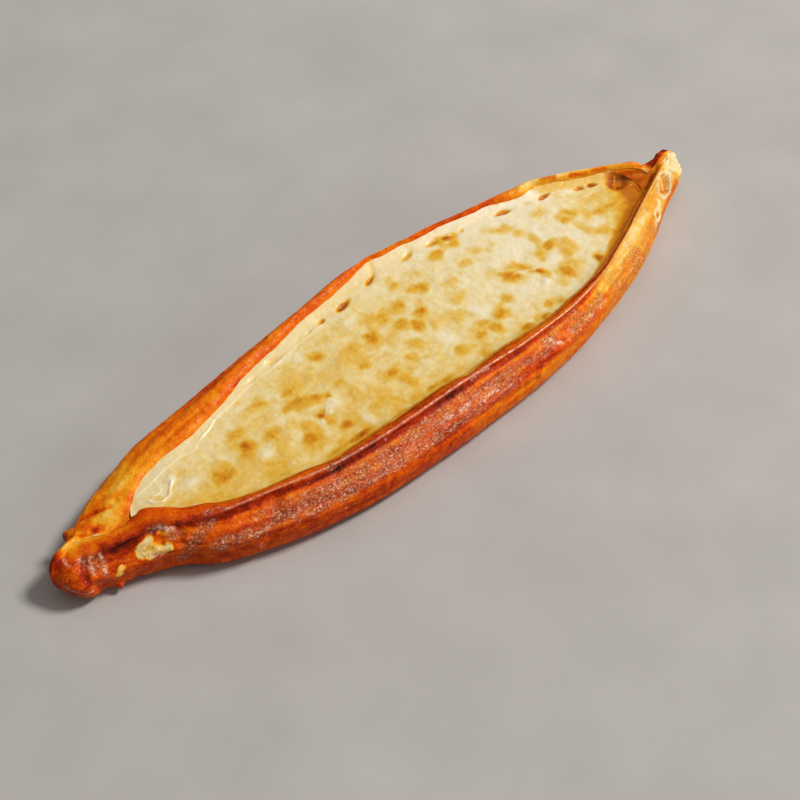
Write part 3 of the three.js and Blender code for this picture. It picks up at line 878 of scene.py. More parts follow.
# Browned spots on the cheese: x, y, half-length, half-width, degrees from +X, and how
# dark the middle is. A paler, wider halo spreads round each.
SPOTS = (
    # the knob's third
    (-117.2, -4.2, 5.5, 3.6, 0, 0.64), (-122, -13.5, 3, 2.6, 0, 0.45),
    (-97.8, 1.8, 2.8, 3, 20, 0.76), (-100, -1.5, 2, 1.6, 0, 0.58), (-96.7, 10.5, 4.2, 2, 5, 0.56),
    (-85, 0, 2.2, 2.2, 0, 0.6), (-84.4, -4.5, 1.2, 2.5, 0, 0.45),
    (-73.3, -15.6, 3.4, 3.2, 0, 0.68), (-70.6, -9, 1.3, 2.6, 0, 0.52),
    (-76, -20, 2.4, 1.2, 0, 0.5), (-77.2, 16.7, 3.2, 0.9, -25, 0.55), (-82, 17.5, 4, 2, 10, 0.4),
    (-62.2, 13.3, 2.8, 1.7, 0, 0.6), (-58.3, 16.5, 5.5, 4, 30, 0.42),
    (-38.9, 19.8, 2.7, 1.9, -20, 0.62), (-61.1, -8.4, 1.5, 1.4, 0, 0.8),
    (-60, -13, 1.9, 3, 0, 0.55), (-55.5, -20.6, 3.5, 1.9, -10, 0.72),
    (-42.2, 0.4, 2.2, 1.6, 0, 0.5), (-40.5, -9.5, 2.6, 3.4, 0, 0.44),
    (-38.3, -21.8, 2.6, 2.2, 0, 0.46), (-31.7, -20.5, 3.2, 4.4, 10, 0.46),
    (-94, -22.2, 2, 1, 0, 0.44), (-87, -11.7, 3, 4, 0, 0.4), (-137, -4.8, 4, 1.4, -20, 0.46),
    (-112, -9, 8, 5, 10, 0.42), (-50, 12, 4, 2, 0, 0.38),
    # the middle
    (-25.5, 0.4, 2.8, 1.6, 0, 0.58), (-22.2, 12.2, 3.2, 2.2, 0, 0.52), (-27, 10.4, 8, 4, 5, 0.42),
    (-11.1, 10.8, 3.3, 3.2, 0, 0.68), (-18.9, -12.2, 2.5, 2.5, 0, 0.62),
    (-16.7, -20, 2, 4.2, 8, 0.54), (-5.5, -11.1, 2.5, 1.7, 0, 0.5),
    (1.7, 17.4, 3.2, 2.6, 30, 0.54), (-4, 20, 5, 2.4, -20, 0.4), (5.7, 7.8, 4, 2.6, 0, 0.58),
    (10.9, 1.8, 2.5, 3.2, -15, 0.66), (19.3, 7.4, 2.6, 1.8, -10, 0.68),
    (13.2, 17.9, 2.2, 2.5, 20, 0.6), (28, 20.8, 4.4, 2.4, -12, 0.56),
    (30.5, 18.8, 2, 1.8, 0, 0.62), (21, 29.3, 1.7, 1.4, 0, 0.54), (1.7, -6, 2.3, 2.2, 0, 0.48),
    (18, -3, 2.6, 2, 0, 0.36), (37.4, 1, 2.6, 2, 0, 0.4), (28.7, -8, 3, 2.6, 0, 0.44),
    (15.5, -24.2, 3, 2.3, 0, 0.54), (28.7, -24.2, 2.9, 2.4, 0, 0.58), (35, -19.4, 3, 2.2, 0, 0.52),
    (37.4, -25, 2.2, 3, 15, 0.58), (45.7, -21.2, 3.3, 2.2, 12, 0.64),
    (55.7, -15.2, 2.3, 2, 0, 0.52), (51.7, 30.8, 4.4, 2, 0, 0.58), (64.4, 30.3, 2.2, 1.8, 0, 0.56),
    (64.6, 35.8, 2.9, 1.3, -22, 0.84), (58.6, 16.7, 2.6, 1.2, 10, 0.44),
    (70, 18, 3.2, 1, -30, 0.32), (43, 12, 2, 1.2, 0, 0.34),
    # the torn tip's third
    (68.2, -6.2, 4.4, 3.2, -40, 0.66), (77.6, -5.4, 4, 1.5, -58, 0.6),
    (74.6, -2.2, 2, 1.4, 0, 0.48), (82, -13.6, 3.4, 1.1, -60, 0.78),
    (90.8, -5.1, 1.8, 1.4, 0, 0.5), (98.9, -4, 2.9, 2, -10, 0.64),
    (102.3, -13.5, 2.8, 2.8, 0, 0.5), (107, -8.4, 2.2, 3.4, 0, 0.44),
    (92, -24, 2.8, 3.6, 20, 0.66), (96, -22, 5, 4, 0, 0.42), (111, -27.6, 1.9, 2.6, 0, 0.84),
    (88, 21.5, 4.4, 1.1, -35, 0.44), (94, 12.4, 1.8, 1.8, 0, 0.38), (97, 5.5, 1.8, 3.2, 0, 0.44),
    (113, 17, 3, 3, 0, 0.34), (119.5, 3.4, 2.5, 1.8, -15, 0.6), (125, 5.4, 3.4, 1, -58, 0.56),
    (132, 0.3, 1.4, 3, -20, 0.46), (138, -4.2, 3.4, 1.5, -14, 0.56),
    (145.5, -5.6, 3.6, 1.4, -12, 0.6), (127.6, -15.6, 4.4, 1.5, -30, 0.5),
    (122, -8, 1.2, 5, 10, 0.38),
    # along the near wall
    (-68.3, -29.4, 7.5, 1.2, -2, 0.58), (-55, -29.8, 3.8, 2, 0, 0.84),
    (-21.7, -31.2, 2, 1.6, 0, 0.54), (-11.7, -32.4, 2.4, 1.6, 0, 0.64),
    (-3.5, -33.4, 3.6, 1.8, -8, 0.62), (5, -33, 3, 2, 0, 0.42), (21.6, -33.6, 1.6, 2.4, 0, 0.52),
    (48.3, -36.2, 3.2, 2.2, 0, 0.7), (60.3, -37.2, 2.2, 1.6, 0, 0.66),
    (68.4, -32.8, 2.4, 1.8, -20, 0.58), (74, -35.6, 1.6, 1, 0, 0.48),
)
# Browned hollows: x, y, half-length, half-width, degrees, depth and how dark.
HOLLOWS = (
    (-6.7, 36.8, 5, 1.6, 10, 1.5, 0.8), (-21.7, 36.4, 2.6, 0.9, 5, 1, 0.72),
    (14.4, 40.5, 3.8, 1.1, 22, 1.1, 0.66), (39.7, 40.2, 3.6, 1.3, 8, 0.8, 0.48),
    (55.7, 38.2, 3.6, 1.1, -8, 0.8, 0.58), (-55.5, 32.8, 3.3, 1.5, 0, 0.8, 0.46),
    (-70, 30.6, 2.6, 0.9, 0, 0.5, 0.34), (-31, 34.8, 2, 0.7, 10, 0.6, 0.4),
    (99.4, 29.6, 5, 1.3, -16, 1.4, 0.72), (124.7, 23.4, 3.4, 1.2, 0, 1.4, 0.74),
    (143.5, 15.4, 2.4, 1.4, -10, 1.2, 0.7), (150.5, 12.6, 3, 1, -28, 1.2, 0.84),
    (73.5, 34.6, 1.6, 0.9, 0, 0.5, 0.38),
)
# Glossy swellings, their highlight painted pale: x, y, half-length, half-width, degrees and
# height.
LUMPS = (
    (-134.5, 11.5, 3, 2.2, 40, 0.7), (-53, -6.8, 6.4, 3.4, 36, 0.5),
    (-56.6, -9.6, 1.4, 1.2, 0, 0.6), (-62.6, -11.2, 1, 1.6, 0, 0.6),
    (78.4, -21, 4.4, 2.6, 38, 0.9), (73, -19, 1.4, 1, 0, 0.5), (80.5, -10.5, 1.2, 1.8, 30, 0.5),
    (-55.6, 30.4, 3.2, 0.5, 0, 0.5), (62.5, 33.4, 2.4, 0.6, -20, 0.5),
    (66.8, 36.4, 1.2, 0.9, 0, 0.5), (113, 22, 6, 3.2, 12, 0.5), (136, 17.6, 4, 1.8, -28, 0.6),
    (94, -12.6, 5, 3.4, 0, 0.4), (47, 36.6, 4, 2.2, 0, 0.4), (131, -9, 6, 4, 0, 0.4),
    (16, -14, 5, 7, 0, 0.4), (-94, -8, 5, 3.4, 20, 0.4), (-46, -24, 3, 5, 0, 0.4),
    (-64, -13, 2, 4, 0, 0.2), (-129, 4, 5, 3, 0, 0.3), (84, 8, 10, 5, 10, 0.3),
    (70, -16, 6, 5, 0, 0.3), (-12, 26, 6, 4, 0, 0.3), (-46, 26, 4, 4, 0, 0.3),
    (40, -12, 6, 5, 20, 0.3),
)
# Thin raised wrinkles in the skin of the cheese: height, reach and (x, y)...
WRINKLES = (
    (0.6, 0.9, (-148.5, 9.5), (-147.5, 6.2), (-144, 4.4), (-140, 4.8), (-138, 7.2),
     (-134.5, 10.5)),
    (0.4, 0.7, (-146, 10.2), (-143, 9), (-141, 10)),
    (0.3, 0.7, (-58.5, -9), (-54.5, -4.2), (-50, -2.2)),
    (0.3, 0.6, (71, -6), (76, -8.2), (82, -11)),
    (0.3, 0.6, (-110, 20), (-104, 21.5), (-99, 24.2)),
    (0.25, 0.6, (130, 12), (138, 9.5), (146, 8.6)),
)
# The blister near the middle, as a spot is given, and the browner edge along its top.
BLISTER = (-61, 2.2, 9.5, 4, -21)
BLISTER_EDGE = ((-71, 5.6), (-66.5, 6.9), (-61.5, 5.6), (-57, 3), (-50.5, -1.4))
# The edge of the skin that slid down from the low side: (x, y).
skin_edge = smooth_curve(
    (-150, 15.2), (-141.7, 16), (-131.7, 17.8), (-124, 18.2), (-117, 17), (-112.5, 19.2),
    (-106, 21), (-98.3, 24), (-87, 26), (-76, 28.3), (-65, 30), (-59.5, 29.6), (-50, 30.8),
    (-36, 33.2), (-22, 34.4))
# The fold in the cheese where it climbs over the low side, and a streak in its corner.
OVERFLOW = ((23, 50), (21, 46), (17.5, 41), (12, 38.4))
CORNER_STREAK = ((158.5, 3.5), (162, 7), (164.5, 8.6))
# How golden the cheese is along the boat, how much of it has turned golden in patches,
# and how wide the burnt band beside the near wall is.
plain_toast = smooth_curve(
    (-157, 0.2), (-120, 0.26), (-70, 0.27), (-20, 0.26), (30, 0.21), (80, 0.13),
    (115, 0.11), (132, 0.24), (150, 0.32))
golden_share = smooth_curve(
    (-157, -0.3), (-130, 0), (-60, -0.02), (0, -0.08), (50, -0.25), (100, -0.22),
    (150, -0.1))
burnt_width = smooth_curve((60, 0), (95, 1.8), (120, 4.6), (140, 7.6), (157, 11), (170, 20))


def cheese_points():
    """The cheese as a closed loft, with its top as the first steps of each ring."""
    start = CHEESE_START_X - TONGUE_REACH
    stops = stations(start, CHEESE_END_X, CHEESE_STATIONS, CHEESE_ROUNDING, CHEESE_ROUNDING)
    x = stops[:, None]
    near = near_lip(x) - SINK
    far = far_lip(x) + SINK
    bottom = floor_top(x) + SINK
    level = cheese_level(x)
    y = near + (far - near) * np.linspace(0, 1, CHEESE_TOP_STEPS)
    climb = np.minimum(CLIMB_WIDTH, CLIMB_SHARE * (far - near))
    near_rise = np.maximum(level, near_top(x) - NEAR_WALL_DROP) - level
    far_rise = np.maximum(level, far_top(x) - FAR_WALL_DROP) - level
    z = level + near_rise * ramp(y - near, climb, 0) + far_rise * ramp(far - y, climb, 0)
    down = np.linspace(0, 1, CHEESE_SIDE_STEPS + 1)[1:-1]
    back = np.linspace(1, 0, CHEESE_BOTTOM_STEPS)
    sides = ((y, z),
             (far, z[:, -1:] + (bottom - z[:, -1:]) * down),
             (near + (far - near) * back, bottom),
             (near, bottom + (z[:, :1] - bottom) * down))
    ring = np.concatenate([np.stack(np.broadcast_arrays(x, *side), axis=-1) for side in sides],
                          axis=1)
    centre = ring.mean(axis=1, keepdims=True)
    scale = tip_scale(stops, start, CHEESE_END_X, CHEESE_ROUNDING, CHEESE_ROUNDING)
    ring[..., 1:] = (centre + (ring - centre) * scale)[..., 1:]
    return ring


class Cheese:
    """The cheese's top, with the relief and the masks that are laid on it."""

    def __init__(self):
        self.points = cheese_points()
        self.flat = self.points[:, :CHEESE_TOP_STEPS] * (1, 1, 0)
        self.x, self.y = self.flat[..., 0], self.flat[..., 1]
        self.from_near = self.y - near_lip(self.x)
        self.from_far = far_lip(self.x) - self.y
        self.relief = np.zeros(self.x.shape)
        self.toast = np.zeros(self.x.shape)
        self.wet = np.full(self.x.shape, 0.45)

    def rough(self, size, seed, layers=3):
        """Layered noise on the cheese."""
        return layered(self.flat, size, seed, layers)

    def patch(self, x, y, reach):
        """The rows and columns of the mesh round a place, to work in."""
        rows = np.nonzero(np.abs(self.x[:, 0] - x) < reach)[0]
        columns = np.nonzero(np.any(np.abs(self.y[rows] - y) < reach, axis=0))[0]
        return slice(rows[0], rows[-1] + 1), slice(columns[0], columns[-1] + 1)

    def line(self, places, reach, waver=0.0, seed=0):
        """1 on the line through the places (x, y), 0 beyond reach; noise makes it waver."""
        points = self.flat
        if waver:
            points = points + waver * noise(points, 3, seed)[..., None]
        return nearness(points, [(x, y, 0) for x, y in places], reach)

    def colour(self, level, share, patch=...):
        """Takes the toast towards a level, by a share."""
        self.toast[patch] = mixed(self.toast[patch], level, share)

    def brown(self, level, share, patch=...):
        """The same, only where that makes it darker."""
        toast = self.toast[patch]
        self.toast[patch] = np.maximum(toast, mixed(toast, level, share))


def lay_cheese_swells(cheese):
    """The uneven surface of the melted cheese, and how much of it has turned golden."""
    cheese.relief += 0.5 * cheese.rough(24, 61) + 0.2 * cheese.rough(5, 65)
    pimples = bubbles(cheese.flat, 2.2, 0.25, 67)
    cheese.relief += 0.25 * pimples * ramp(cheese.rough(15, 69, 2), 0.1, 0.6)
    base = plain_toast(cheese.x)
    base += 0.05 * ramp(cheese.from_near, 26, 2) - 0.03 * ramp(cheese.from_far, 22, 8)
    share = golden_share(cheese.x)
    share += 0.15 * ramp(cheese.from_near, 26, 4) - 0.5 * ramp(cheese.from_far, 14, 4)
    golden = ramp(cheese.rough((15, 11, 9), 71, 4) + share, -0.15, 0.75)
    inland = 1 - ramp(cheese.from_far, 8, 2)
    cheese.toast = base + 0.14 * golden * inland + 0.05 * cheese.rough(4, 73)
    veins = ramp(np.abs(cheese.rough((11, 8, 8), 151)), 0.09, 0)
    cheese.toast += 0.1 * veins * ramp(cheese.rough(20, 153, 2), -0.2, 0.3) * inland
    cheese.toast -= 0.07 * ramp(cheese.rough((9, 12, 9), 77), 0.15, 0.6)
    cheese.wet += 0.25 * cheese.rough(7, 79)


def lay_cheese_spots(cheese):
    """A mottled, slightly raised dark middle and a wide halo for each spot."""
    for x, y, length, width, degrees, dark in SPOTS:
        patch = cheese.patch(x, y, 2.6 * max(length, width) + 2)
        flat = cheese.flat[patch]
        inner = spread(flat, x, y, length, width, degrees, 0.5, 81) + 0.3 * noise(flat, 2.2, 82)
        outer = spread(flat, x, y, length + 1.4, width + 1.4, degrees, 0.85, 83)
        cheese.brown(0.3 + 0.26 * dark, ramp(outer, 1.8, 0.2), patch)
        mottled = dark - 0.04 + 0.08 * noise(flat, 1.8, 85)
        cheese.brown(mottled, ramp(inner, 1.6, 0.25), patch)
        rise = ramp(inner, 1.3, 0.5) * (0.12 + 0.3 * max(0, dark - 0.5))
        cheese.relief[patch] += rise * (1 + 0.8 * noise(flat, 1.4, 87))


def lay_cheese_hollows(cheese):
    """Sunken places, browned at the bottom."""
    for x, y, length, width, degrees, depth, dark in HOLLOWS:
        patch = cheese.patch(x, y, 2.2 * length + 3)
        distance = spread(cheese.flat[patch], x, y, 1.25 * length, 1.4 * width, degrees, 0.4, 91)
        cheese.relief[patch] -= depth * ramp(distance, 1.25, 0.2)
        cheese.brown(dark, ramp(distance, 1.25, 0.45), patch)


def lay_cheese_lumps(cheese):
    """Wet swellings, painted pale as their highlight."""
    for x, y, length, width, degrees, height in LUMPS:
        patch = cheese.patch(x, y, 2 * length + 3)
        flat = cheese.flat[patch]
        dome = ramp(spread(flat, x, y, length, width, degrees, 0.35, 95), 1.4, 0)
        crumpled = 1 + 0.4 * noise(flat, 2.4, 97)
        cheese.relief[patch] += 0.6 * height * dome * crumpled
        # the pale colour of each swelling is a painted highlight
        cheese.colour(0.02, dome * min(1, height + 0.25), patch)
        cheese.wet[patch] += 0.5 * dome * height


def lay_cheese_rim(cheese):
    """Melted fat creeps up the near lip and darkens to brown-gold there."""
    cheese.creep = 1.3 * ramp(cheese.from_near, 2.4, 0.4) * window(cheese.x, -150, 165, 6)
    uneven = 0.6 * cheese.rough(4, 131, 2)
    tint = ramp(cheese.from_near + uneven, 2.6, 0.4) * window(cheese.x, -120, 170, 10)
    cheese.brown(0.66, 0.8 * tint)
    beads = ramp(cheese.rough(2.8, 133, 2), 0, 0.3) * ramp(cheese.from_near, 2.4, 1)
    cheese.brown(0.92, beads * (0.35 * ramp(cheese.x, -80, -20) + 0.65 * ramp(cheese.x, 30, 90)))


def lay_cheese_wrinkles(cheese):
    """Fine pale wrinkles, and the browned blister with its sharper upper edge."""
    for height, reach, *places in WRINKLES:
        line = cheese.line(places, reach, 0.5, 121)
        cheese.relief += height * line
        cheese.colour(0.04, 0.8 * line)
        cheese.wet += 0.4 * line
    body = spread(cheese.flat, *BLISTER, 0.25, 123)
    cheese.relief += 0.7 * ramp(body, 1.3, 0.2)
    cheese.brown(0.5, ramp(body, 1.15, 0.5))
    edge = cheese.line(BLISTER_EDGE, 2.9, 1.2, 125) * (0.7 + 0.6 * noise(cheese.flat, 5, 147))
    cheese.brown(0.6, np.clip(edge, 0, 1))


def lay_cheese_skin(cheese):
    """The pale strip along the low side, with its raised edge, and where it overflows."""
    there = window(cheese.x, -150, -24, 4)
    above = cheese.y - (skin_edge(cheese.x) + 0.5 * cheese.rough(9, 101))
    ridge = bell(above, 0, 0.4) * there
    cheese.relief += 0.2 * ridge + 0.15 * ramp(above, -0.4, 0.6) * there
    # the raised edge is painted pale, a painted highlight along it
    cheese.colour(0.08, 0.6 * ridge)
    cheese.colour(0.19, 0.6 * ramp(above, 0, 1.2) * there)
    fold = cheese.line(OVERFLOW, 2.6)
    cheese.relief -= 0.35 * fold
    cheese.toast += 0.1 * fold


def lay_cheese_edges(cheese):
    """The browned line along the high side and the oily, burnt end at the torn tip."""
    x, y, rough = cheese.x, cheese.y, cheese.rough(5, 103)
    line = ramp(cheese.from_near + 0.7 * rough, 1.6, 0.2) * window(x, -120, 150, 10)
    cheese.brown(0.6, line)
    depth = cheese.from_near / (burnt_width(x) + 0.01) + 0.25 * rough
    there = ramp(x, 70, 100)
    cheese.brown(0.55, ramp(depth, 1.35, 0.8) * there)
    band = ramp(depth, 0.95, 0.25) * there
    cheese.colour(0.76 + 0.05 * rough, band)
    along = x - 0.35 * (y - 2) + 1.2 * rough
    cheese.brown(0.55, ramp(along, 152, 158))
    end = ramp(along, 156, 161)
    cheese.colour(0.72 + 0.05 * rough, end)
    cheese.wet = mixed(cheese.wet, 0.8, np.maximum(band, end))
    # The cheese along the low side turns yellow towards the tip, with a red-brown edge.
    yellow = ramp(cheese.from_far + 0.8 * rough, 7.5, 4.5) * window(x, 128, 166, 8)
    cheese.brown(0.4, yellow)
    spotted = ramp(cheese.rough(3.2, 104, 2), -0.1, 0.4)
    cheese.brown(0.7, ramp(cheese.from_far, 1.6, 0.4) * window(x, 98, 160, 6) * spotted)
    cheese.relief -= HOLLOW_DEPTH * corner_hollow(cheese.flat)
    hollow = spread(cheese.flat, *CORNER_HOLLOW, 0.3, 105)
    cheese.colour(0.82 + 0.12 * cheese.rough(3.5, 106, 2), ramp(hollow, 1.25, 0.6))
    streak = cheese.line(CORNER_STREAK, 1.3)
    cheese.colour(0.6, 0.6 * streak)
    cheese.relief += 0.7 * streak


def make_cheese(place):
    cheese = Cheese()
    for lay in (lay_cheese_swells, lay_cheese_spots, lay_cheese_hollows, lay_cheese_skin,
                lay_cheese_lumps, lay_cheese_wrinkles, lay_cheese_rim, lay_cheese_edges):
        lay(cheese)
    # The relief dies away at both walls and at both ends.
    inside = window(np.linspace(0, 1, CHEESE_TOP_STEPS), 0.02, 0.98, 0.02)
    from_tips = np.minimum(cheese.x - CHEESE_START_X, CHEESE_END_X - cheese.x)
    relief = (cheese.relief * inside + cheese.creep) * ramp(from_tips, 0, 3)
    cheese.points[:, :CHEESE_TOP_STEPS, 2] += relief
    masks = {}
    for mask, top, hidden in (("toast", cheese.toast, 0.3), ("wet", cheese.wet, 0.4)):
        masks[mask] = np.full(cheese.points.shape[:2], hidden)
        masks[mask][:, :CHEESE_TOP_STEPS] = top
    return closed_mesh("melted_cheese_layer", cheese.points + place, masks, melted_cheese())


# ---- materials ----
# Colours are 0-255 screen values, at places on a ramp from 0 to 1.
DOUGH_COLOURS = ((0.0, (250, 228, 176)), (0.2, (250, 200, 90)), (0.35, (246, 170, 32)),
                 (0.5, (238, 128, 6)), (0.65, (222, 86, 0)), (0.8, (172, 42, 0)),
                 (1.0, (70, 16, 2)))
SOAKED_COLOURS = ((0.25, (228, 154, 28)), (0.5, (210, 112, 10)), (0.75, (150, 62, 4)),
                  (1.0, (60, 18, 2)))
SKIN_AND_GLINT_COLOURS = ((0.34, (90, 42, 22)), (0.45, (146, 82, 50)), (0.56, (174, 124, 88)),
                (0.68, (238, 222, 198)))
FLECK_AND_GLINT_COLOUR = (246, 206, 176)
CHEESE_COLOURS = ((0.0, (248, 238, 212)), (0.15, (243, 226, 180)), (0.3, (238, 208, 130)),
                  (0.45, (232, 182, 62)), (0.6, (220, 146, 18)), (0.75, (196, 106, 8)),
                  (0.88, (146, 70, 14)), (1.0, (90, 40, 14)))
FLOOR_COLOURS = ((0.3, (178, 174, 171)), (0.7, (188, 184, 181)))


def linear(colour):
    """A colour given as 0-255 screen values, in the linear values that shaders take."""
    def one(value):
        value /= 255
        return value / 12.92 if value <= 0.04045 else ((value + 0.055) / 1.055) ** 2.4
    return tuple(one(value) for value in colour) + (1.0,)


class Nodes:
    """A material's node tree, with short ways to add and join its nodes."""

    def __init__(self, name):
        self.material = bpy.data.materials.new(name)
        self.material.use_nodes = True
        self.tree = self.material.node_tree
        self.shader = self.tree.nodes["Principled BSDF"]
        self.place = self.add("ShaderNodeTexCoord").outputs["Object"]

    def add(self, kind, **settings):
        node = self.tree.nodes.new(kind)
        for name, value in settings.items():
            setattr(node, name, value)
        return node

    def give(self, socket, value):
        """Sets an input to a plain value, or joins a node's output to it."""
        if isinstance(value, bpy.types.NodeSocket):
            self.tree.links.new(value, socket)
        else:
            socket.default_value = value

    def fill(self, node, **values):
        """Gives a node's inputs their values; From_Min stands for From Min."""
        for name, value in values.items():
            self.give(node.inputs[name.replace("_", " ")], value)
        return node.outputs

    def mask(self, name):
        return self.add("ShaderNodeAttribute", attribute_name=name).outputs["Fac"]

    def noise(self, size, detail=3.0, roughness=0.55, stretch=None):
        """Noise from 0 to 1 with swells of the given size in millimetres."""
        place = self.place
        if stretch:
            mapping = self.add("ShaderNodeMapping")
            place = self.fill(mapping, Vector=place, Scale=stretch)["Vector"]
        return self.fill(self.add("ShaderNodeTexNoise"), Vector=place, Scale=1 / (size * MM),
                         Detail=detail, Roughness=roughness)["Fac"]

    def math(self, operation, a, b, clamp=False):
        node = self.add("ShaderNodeMath", operation=operation, use_clamp=clamp)
        self.give(node.inputs[0], a)
        self.give(node.inputs[1], b)
        return node.outputs[0]

    def span(self, value, low, high, new_low=0.0, new_high=1.0):
        """value taken from low..high to new_low..new_high, clamped."""
        return self.fill(self.add("ShaderNodeMapRange"), Value=value, From_Min=low, From_Max=high,
                         To_Min=new_low, To_Max=new_high)["Result"]

    def colours(self, value, stops):
        """A colour ramp through (position, colour) stops."""
        node = self.add("ShaderNodeValToRGB")
        elements = node.color_ramp.elements
        while len(elements) < len(stops):
            elements.new(0.5)
        for element, (position, colour) in zip(elements, stops):
            element.position = position
            element.color = linear(colour)
        return self.fill(node, Fac=value)["Color"]

    def blend(self, colour, other, share):
        """The colour with a share of another, which may be plain."""
        node = self.add("ShaderNodeMix", data_type="RGBA")
        for socket, value in ((0, share), (6, colour), (7, other)):
            self.give(node.inputs[socket], value)
        return node.outputs[2]

    def bump(self, height, distance, strength=1.0, below=None):
        """A bump of the given depth in millimetres, on top of another."""
        node = self.add("ShaderNodeBump")
        if below is not None:
            self.give(node.inputs["Normal"], below)
        return self.fill(node, Height=height, Distance=distance * MM, Strength=strength)["Normal"]


def baked_dough():
    nodes = Nodes("baked_dough_crust")
    bake, grain, skin_and_glints = (nodes.mask(name) for name in ("bake", "grain", "skin"))
    mottle = nodes.span(nodes.noise(4, 4), 0.3, 0.7, -0.07, 0.07)
    specks = nodes.span(nodes.noise(1.1, 2), 0.35, 0.75, -0.05, 0.09)
    level = nodes.math("ADD", nodes.math("ADD", bake, mottle), specks, clamp=True)
    # Dough soaked with fat beside the cheese is brown-gold rather than red.
    colour = nodes.blend(nodes.colours(level, DOUGH_COLOURS),
                         nodes.colours(bake, SOAKED_COLOURS), nodes.mask("fat"))
    # Dried skin: pale specks, which are painted glints, over a brown ground.
    speckle = nodes.noise(0.95, 2, 0.6, stretch=(0.7, 1, 1))
    colour = nodes.blend(colour, nodes.colours(speckle, SKIN_AND_GLINT_COLOURS),
                         nodes.math("MULTIPLY", skin_and_glints, 0.85))
    broken = nodes.span(speckle, 0.4, 0.52, 0.15, 1)
    # white flecks, partly painted glints and highlights
    colour = nodes.blend(colour, linear(FLECK_AND_GLINT_COLOUR),
                         nodes.math("MULTIPLY", nodes.mask("pale"), broken))
    pebbles = nodes.math("MULTIPLY", nodes.noise(1.5, 1, 0.4), grain)
    flaky = nodes.math("MULTIPLY", speckle, skin_and_glints)
    wrinkles = nodes.noise(3.2, 2, 0.5, stretch=(0.3, 1, 1))
    folded = nodes.math("MULTIPLY", wrinkles, nodes.math("ADD", grain, 0.35, clamp=True))
    flaked = nodes.bump(flaky, 0.5, 1, nodes.bump(pebbles, 0.7))
    uneven = nodes.bump(folded, 0.6, 0.6, flaked)
    # The glaze follows the same unevenness.
    nodes.fill(nodes.shader, Base_Color=colour, Normal=uneven, Coat_Normal=uneven,
               Roughness=nodes.span(nodes.noise(6, 3), 0.3, 0.7, 0.52, 0.68),
               Coat_Weight=nodes.mask("gloss"), Coat_Roughness=0.16, Specular_IOR_Level=0.1)
    return nodes.material


def melted_cheese():
    nodes = Nodes("melted_cheese_top")
    wet = nodes.mask("wet")
    mottle = nodes.span(nodes.noise(3, 4), 0.3, 0.7, -0.05, 0.05)
    level = nodes.math("ADD", nodes.mask("toast"), mottle, clamp=True)
    patches = nodes.span(nodes.noise(2.5, 3), 0.3, 0.7, -0.1, 0.1)
    uneven = nodes.bump(nodes.noise(2.2, 3, 0.5), 0.25, 0.7)
    # A film of fat with tiny beads in it.
    beads = nodes.span(nodes.noise(1.4, 0.5), 0.5, 0.75)
    nodes.fill(nodes.shader, Base_Color=nodes.colours(level, CHEESE_COLOURS), Normal=uneven,
               Roughness=nodes.math("ADD", nodes.span(wet, 0, 1, 0.6, 0.2), patches, clamp=True),
               Specular_IOR_Level=0.25, Coat_Roughness=0.12,
               Coat_Normal=nodes.bump(beads, 0.6, 1, uneven),
               Coat_Weight=nodes.math("MULTIPLY", wet, 0.6),
               Subsurface_Weight=0.1, Subsurface_Radius=(0.004, 0.0025, 0.001))
    return nodes.material


def pale_floor():
    nodes = Nodes("pale_floor")
    tone = nodes.colours(nodes.noise(60, 4), FLOOR_COLOURS)
    nodes.fill(nodes.shader, Base_Color=tone, Roughness=0.8)
    return nodes.material


# ---- floor, lights and camera: metres, watts and degrees ----
FLOOR_WIDTH = 6.0
FLOOR_CELLS = 8
ROOM_COLOUR = (1.0, 0.97, 0.94, 1.0)
ROOM_STRENGTH = 0.08
# Name, place, size, power, colour and whether it shows in reflections.
SOFTBOXES = (
    ("key_softbox", (2.75, -1.3, 3.7), (1.1, 1.1), 190, (1.0, 0.97, 0.93), True),
    ("top_softbox", (0.3, 0.3, 2.6), (3.0, 3.0), 16, (1.0, 0.98, 0.95), False),
    ("near_softbox", (1.3, -2.3, 0.7), (3.0, 1.4), 22, (1.0, 0.97, 0.93), False),
)
# The view of the photograph: from the knob's side, well above the near fold.
LENS = 67.5                         # millimetres, on a film this wide
FILM_WIDTH = 36.0
VIEW_CENTRE = (-15, -13)            # x and y in the drawing frame, in millimetres
VIEW_DISTANCE = 0.733
VIEW_ELEVATION = 50
VIEW_AZIMUTH = 43.5


def make_floor():
    bpy.ops.mesh.primitive_grid_add(x_subdivisions=FLOOR_CELLS, y_subdivisions=FLOOR_CELLS,
                                    size=FLOOR_WIDTH)
    floor = bpy.context.object
    floor.name = "floor"
    floor.data.materials.append(pale_floor())


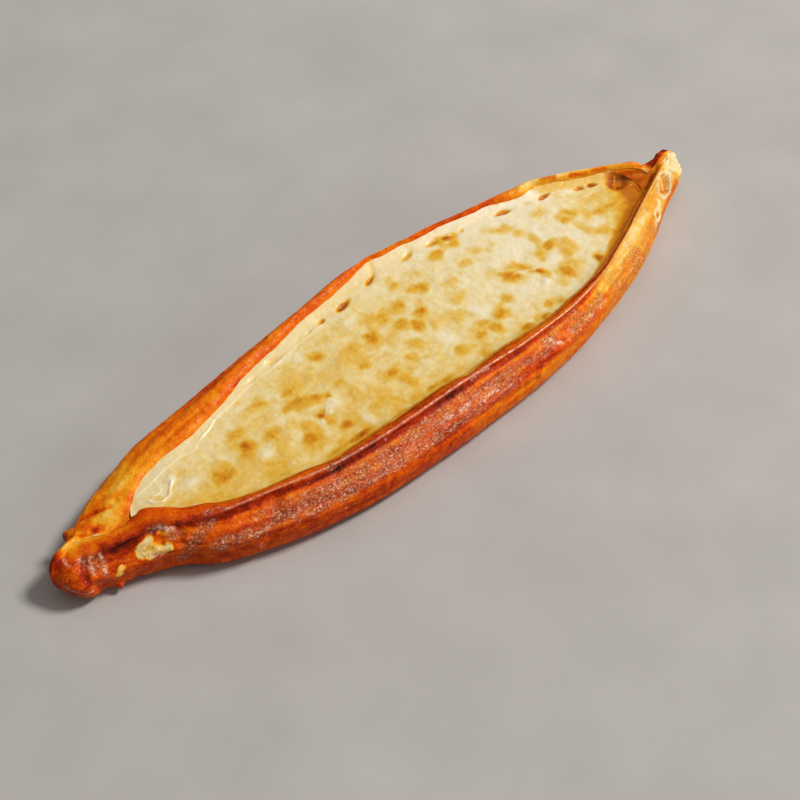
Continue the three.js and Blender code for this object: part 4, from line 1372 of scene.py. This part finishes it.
def add_thing(name, data, place, target):
    """Adds a light or a camera that looks from its place to the target."""
    thing = bpy.data.objects.new(name, data)
    bpy.context.scene.collection.objects.link(thing)
    thing.location = place
    direction = Vector(target) - thing.location
    thing.rotation_euler = direction.to_track_quat("-Z", "Y").to_euler()
    return thing


def light_scene():
    world = bpy.data.worlds.new("soft_room")
    world.use_nodes = True
    background = world.node_tree.nodes["Background"]
    background.inputs["Color"].default_value = ROOM_COLOUR
    background.inputs["Strength"].default_value = ROOM_STRENGTH
    bpy.context.scene.world = world
    for name, place, size, power, colour, mirrored in SOFTBOXES:
        lamp = bpy.data.lights.new(name, "AREA")
        lamp.shape = "RECTANGLE"
        lamp.size, lamp.size_y = size
        lamp.energy = power
        lamp.color = colour
        add_thing(name, lamp, place, (0, 0, 0)).visible_glossy = mirrored


def add_camera(place):
    lens = bpy.data.cameras.new("camera")
    lens.lens = LENS
    lens.sensor_width = FILM_WIDTH
    target = Vector((VIEW_CENTRE[0] + place[0], VIEW_CENTRE[1] + place[1], 0)) * MM
    elevation, azimuth = math.radians(VIEW_ELEVATION), math.radians(VIEW_AZIMUTH)
    away = Vector((-math.sin(azimuth) * math.cos(elevation),
                   -math.cos(azimuth) * math.cos(elevation), math.sin(elevation)))
    bpy.context.scene.camera = add_thing("camera", lens, target + VIEW_DISTANCE * away, target)


def frame_offset():
    """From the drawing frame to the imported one, in millimetres."""
    x = np.linspace(KNOB_TIP_X, TORN_TIP_X, 400)
    turns = np.linspace(0, len(CRUST_STEPS), 160, endpoint=False)
    plain = crust_points(x, turns).reshape(-1, 3)
    packed_centre = np.mean(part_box("crust"), axis=0) / MM
    return packed_centre - (plain.min(axis=0) + plain.max(axis=0)) / 2


place = frame_offset()
for piece, node, slot in ((make_crust(place), "crust", "baked_dough"),
                          (make_cheese(place), "cheese_filling", "melted_cheese")):
    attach(piece, "root")
    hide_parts(node)

make_floor()
light_scene()
add_camera(place)
bpy.context.scene.view_settings.view_transform = "Standard"
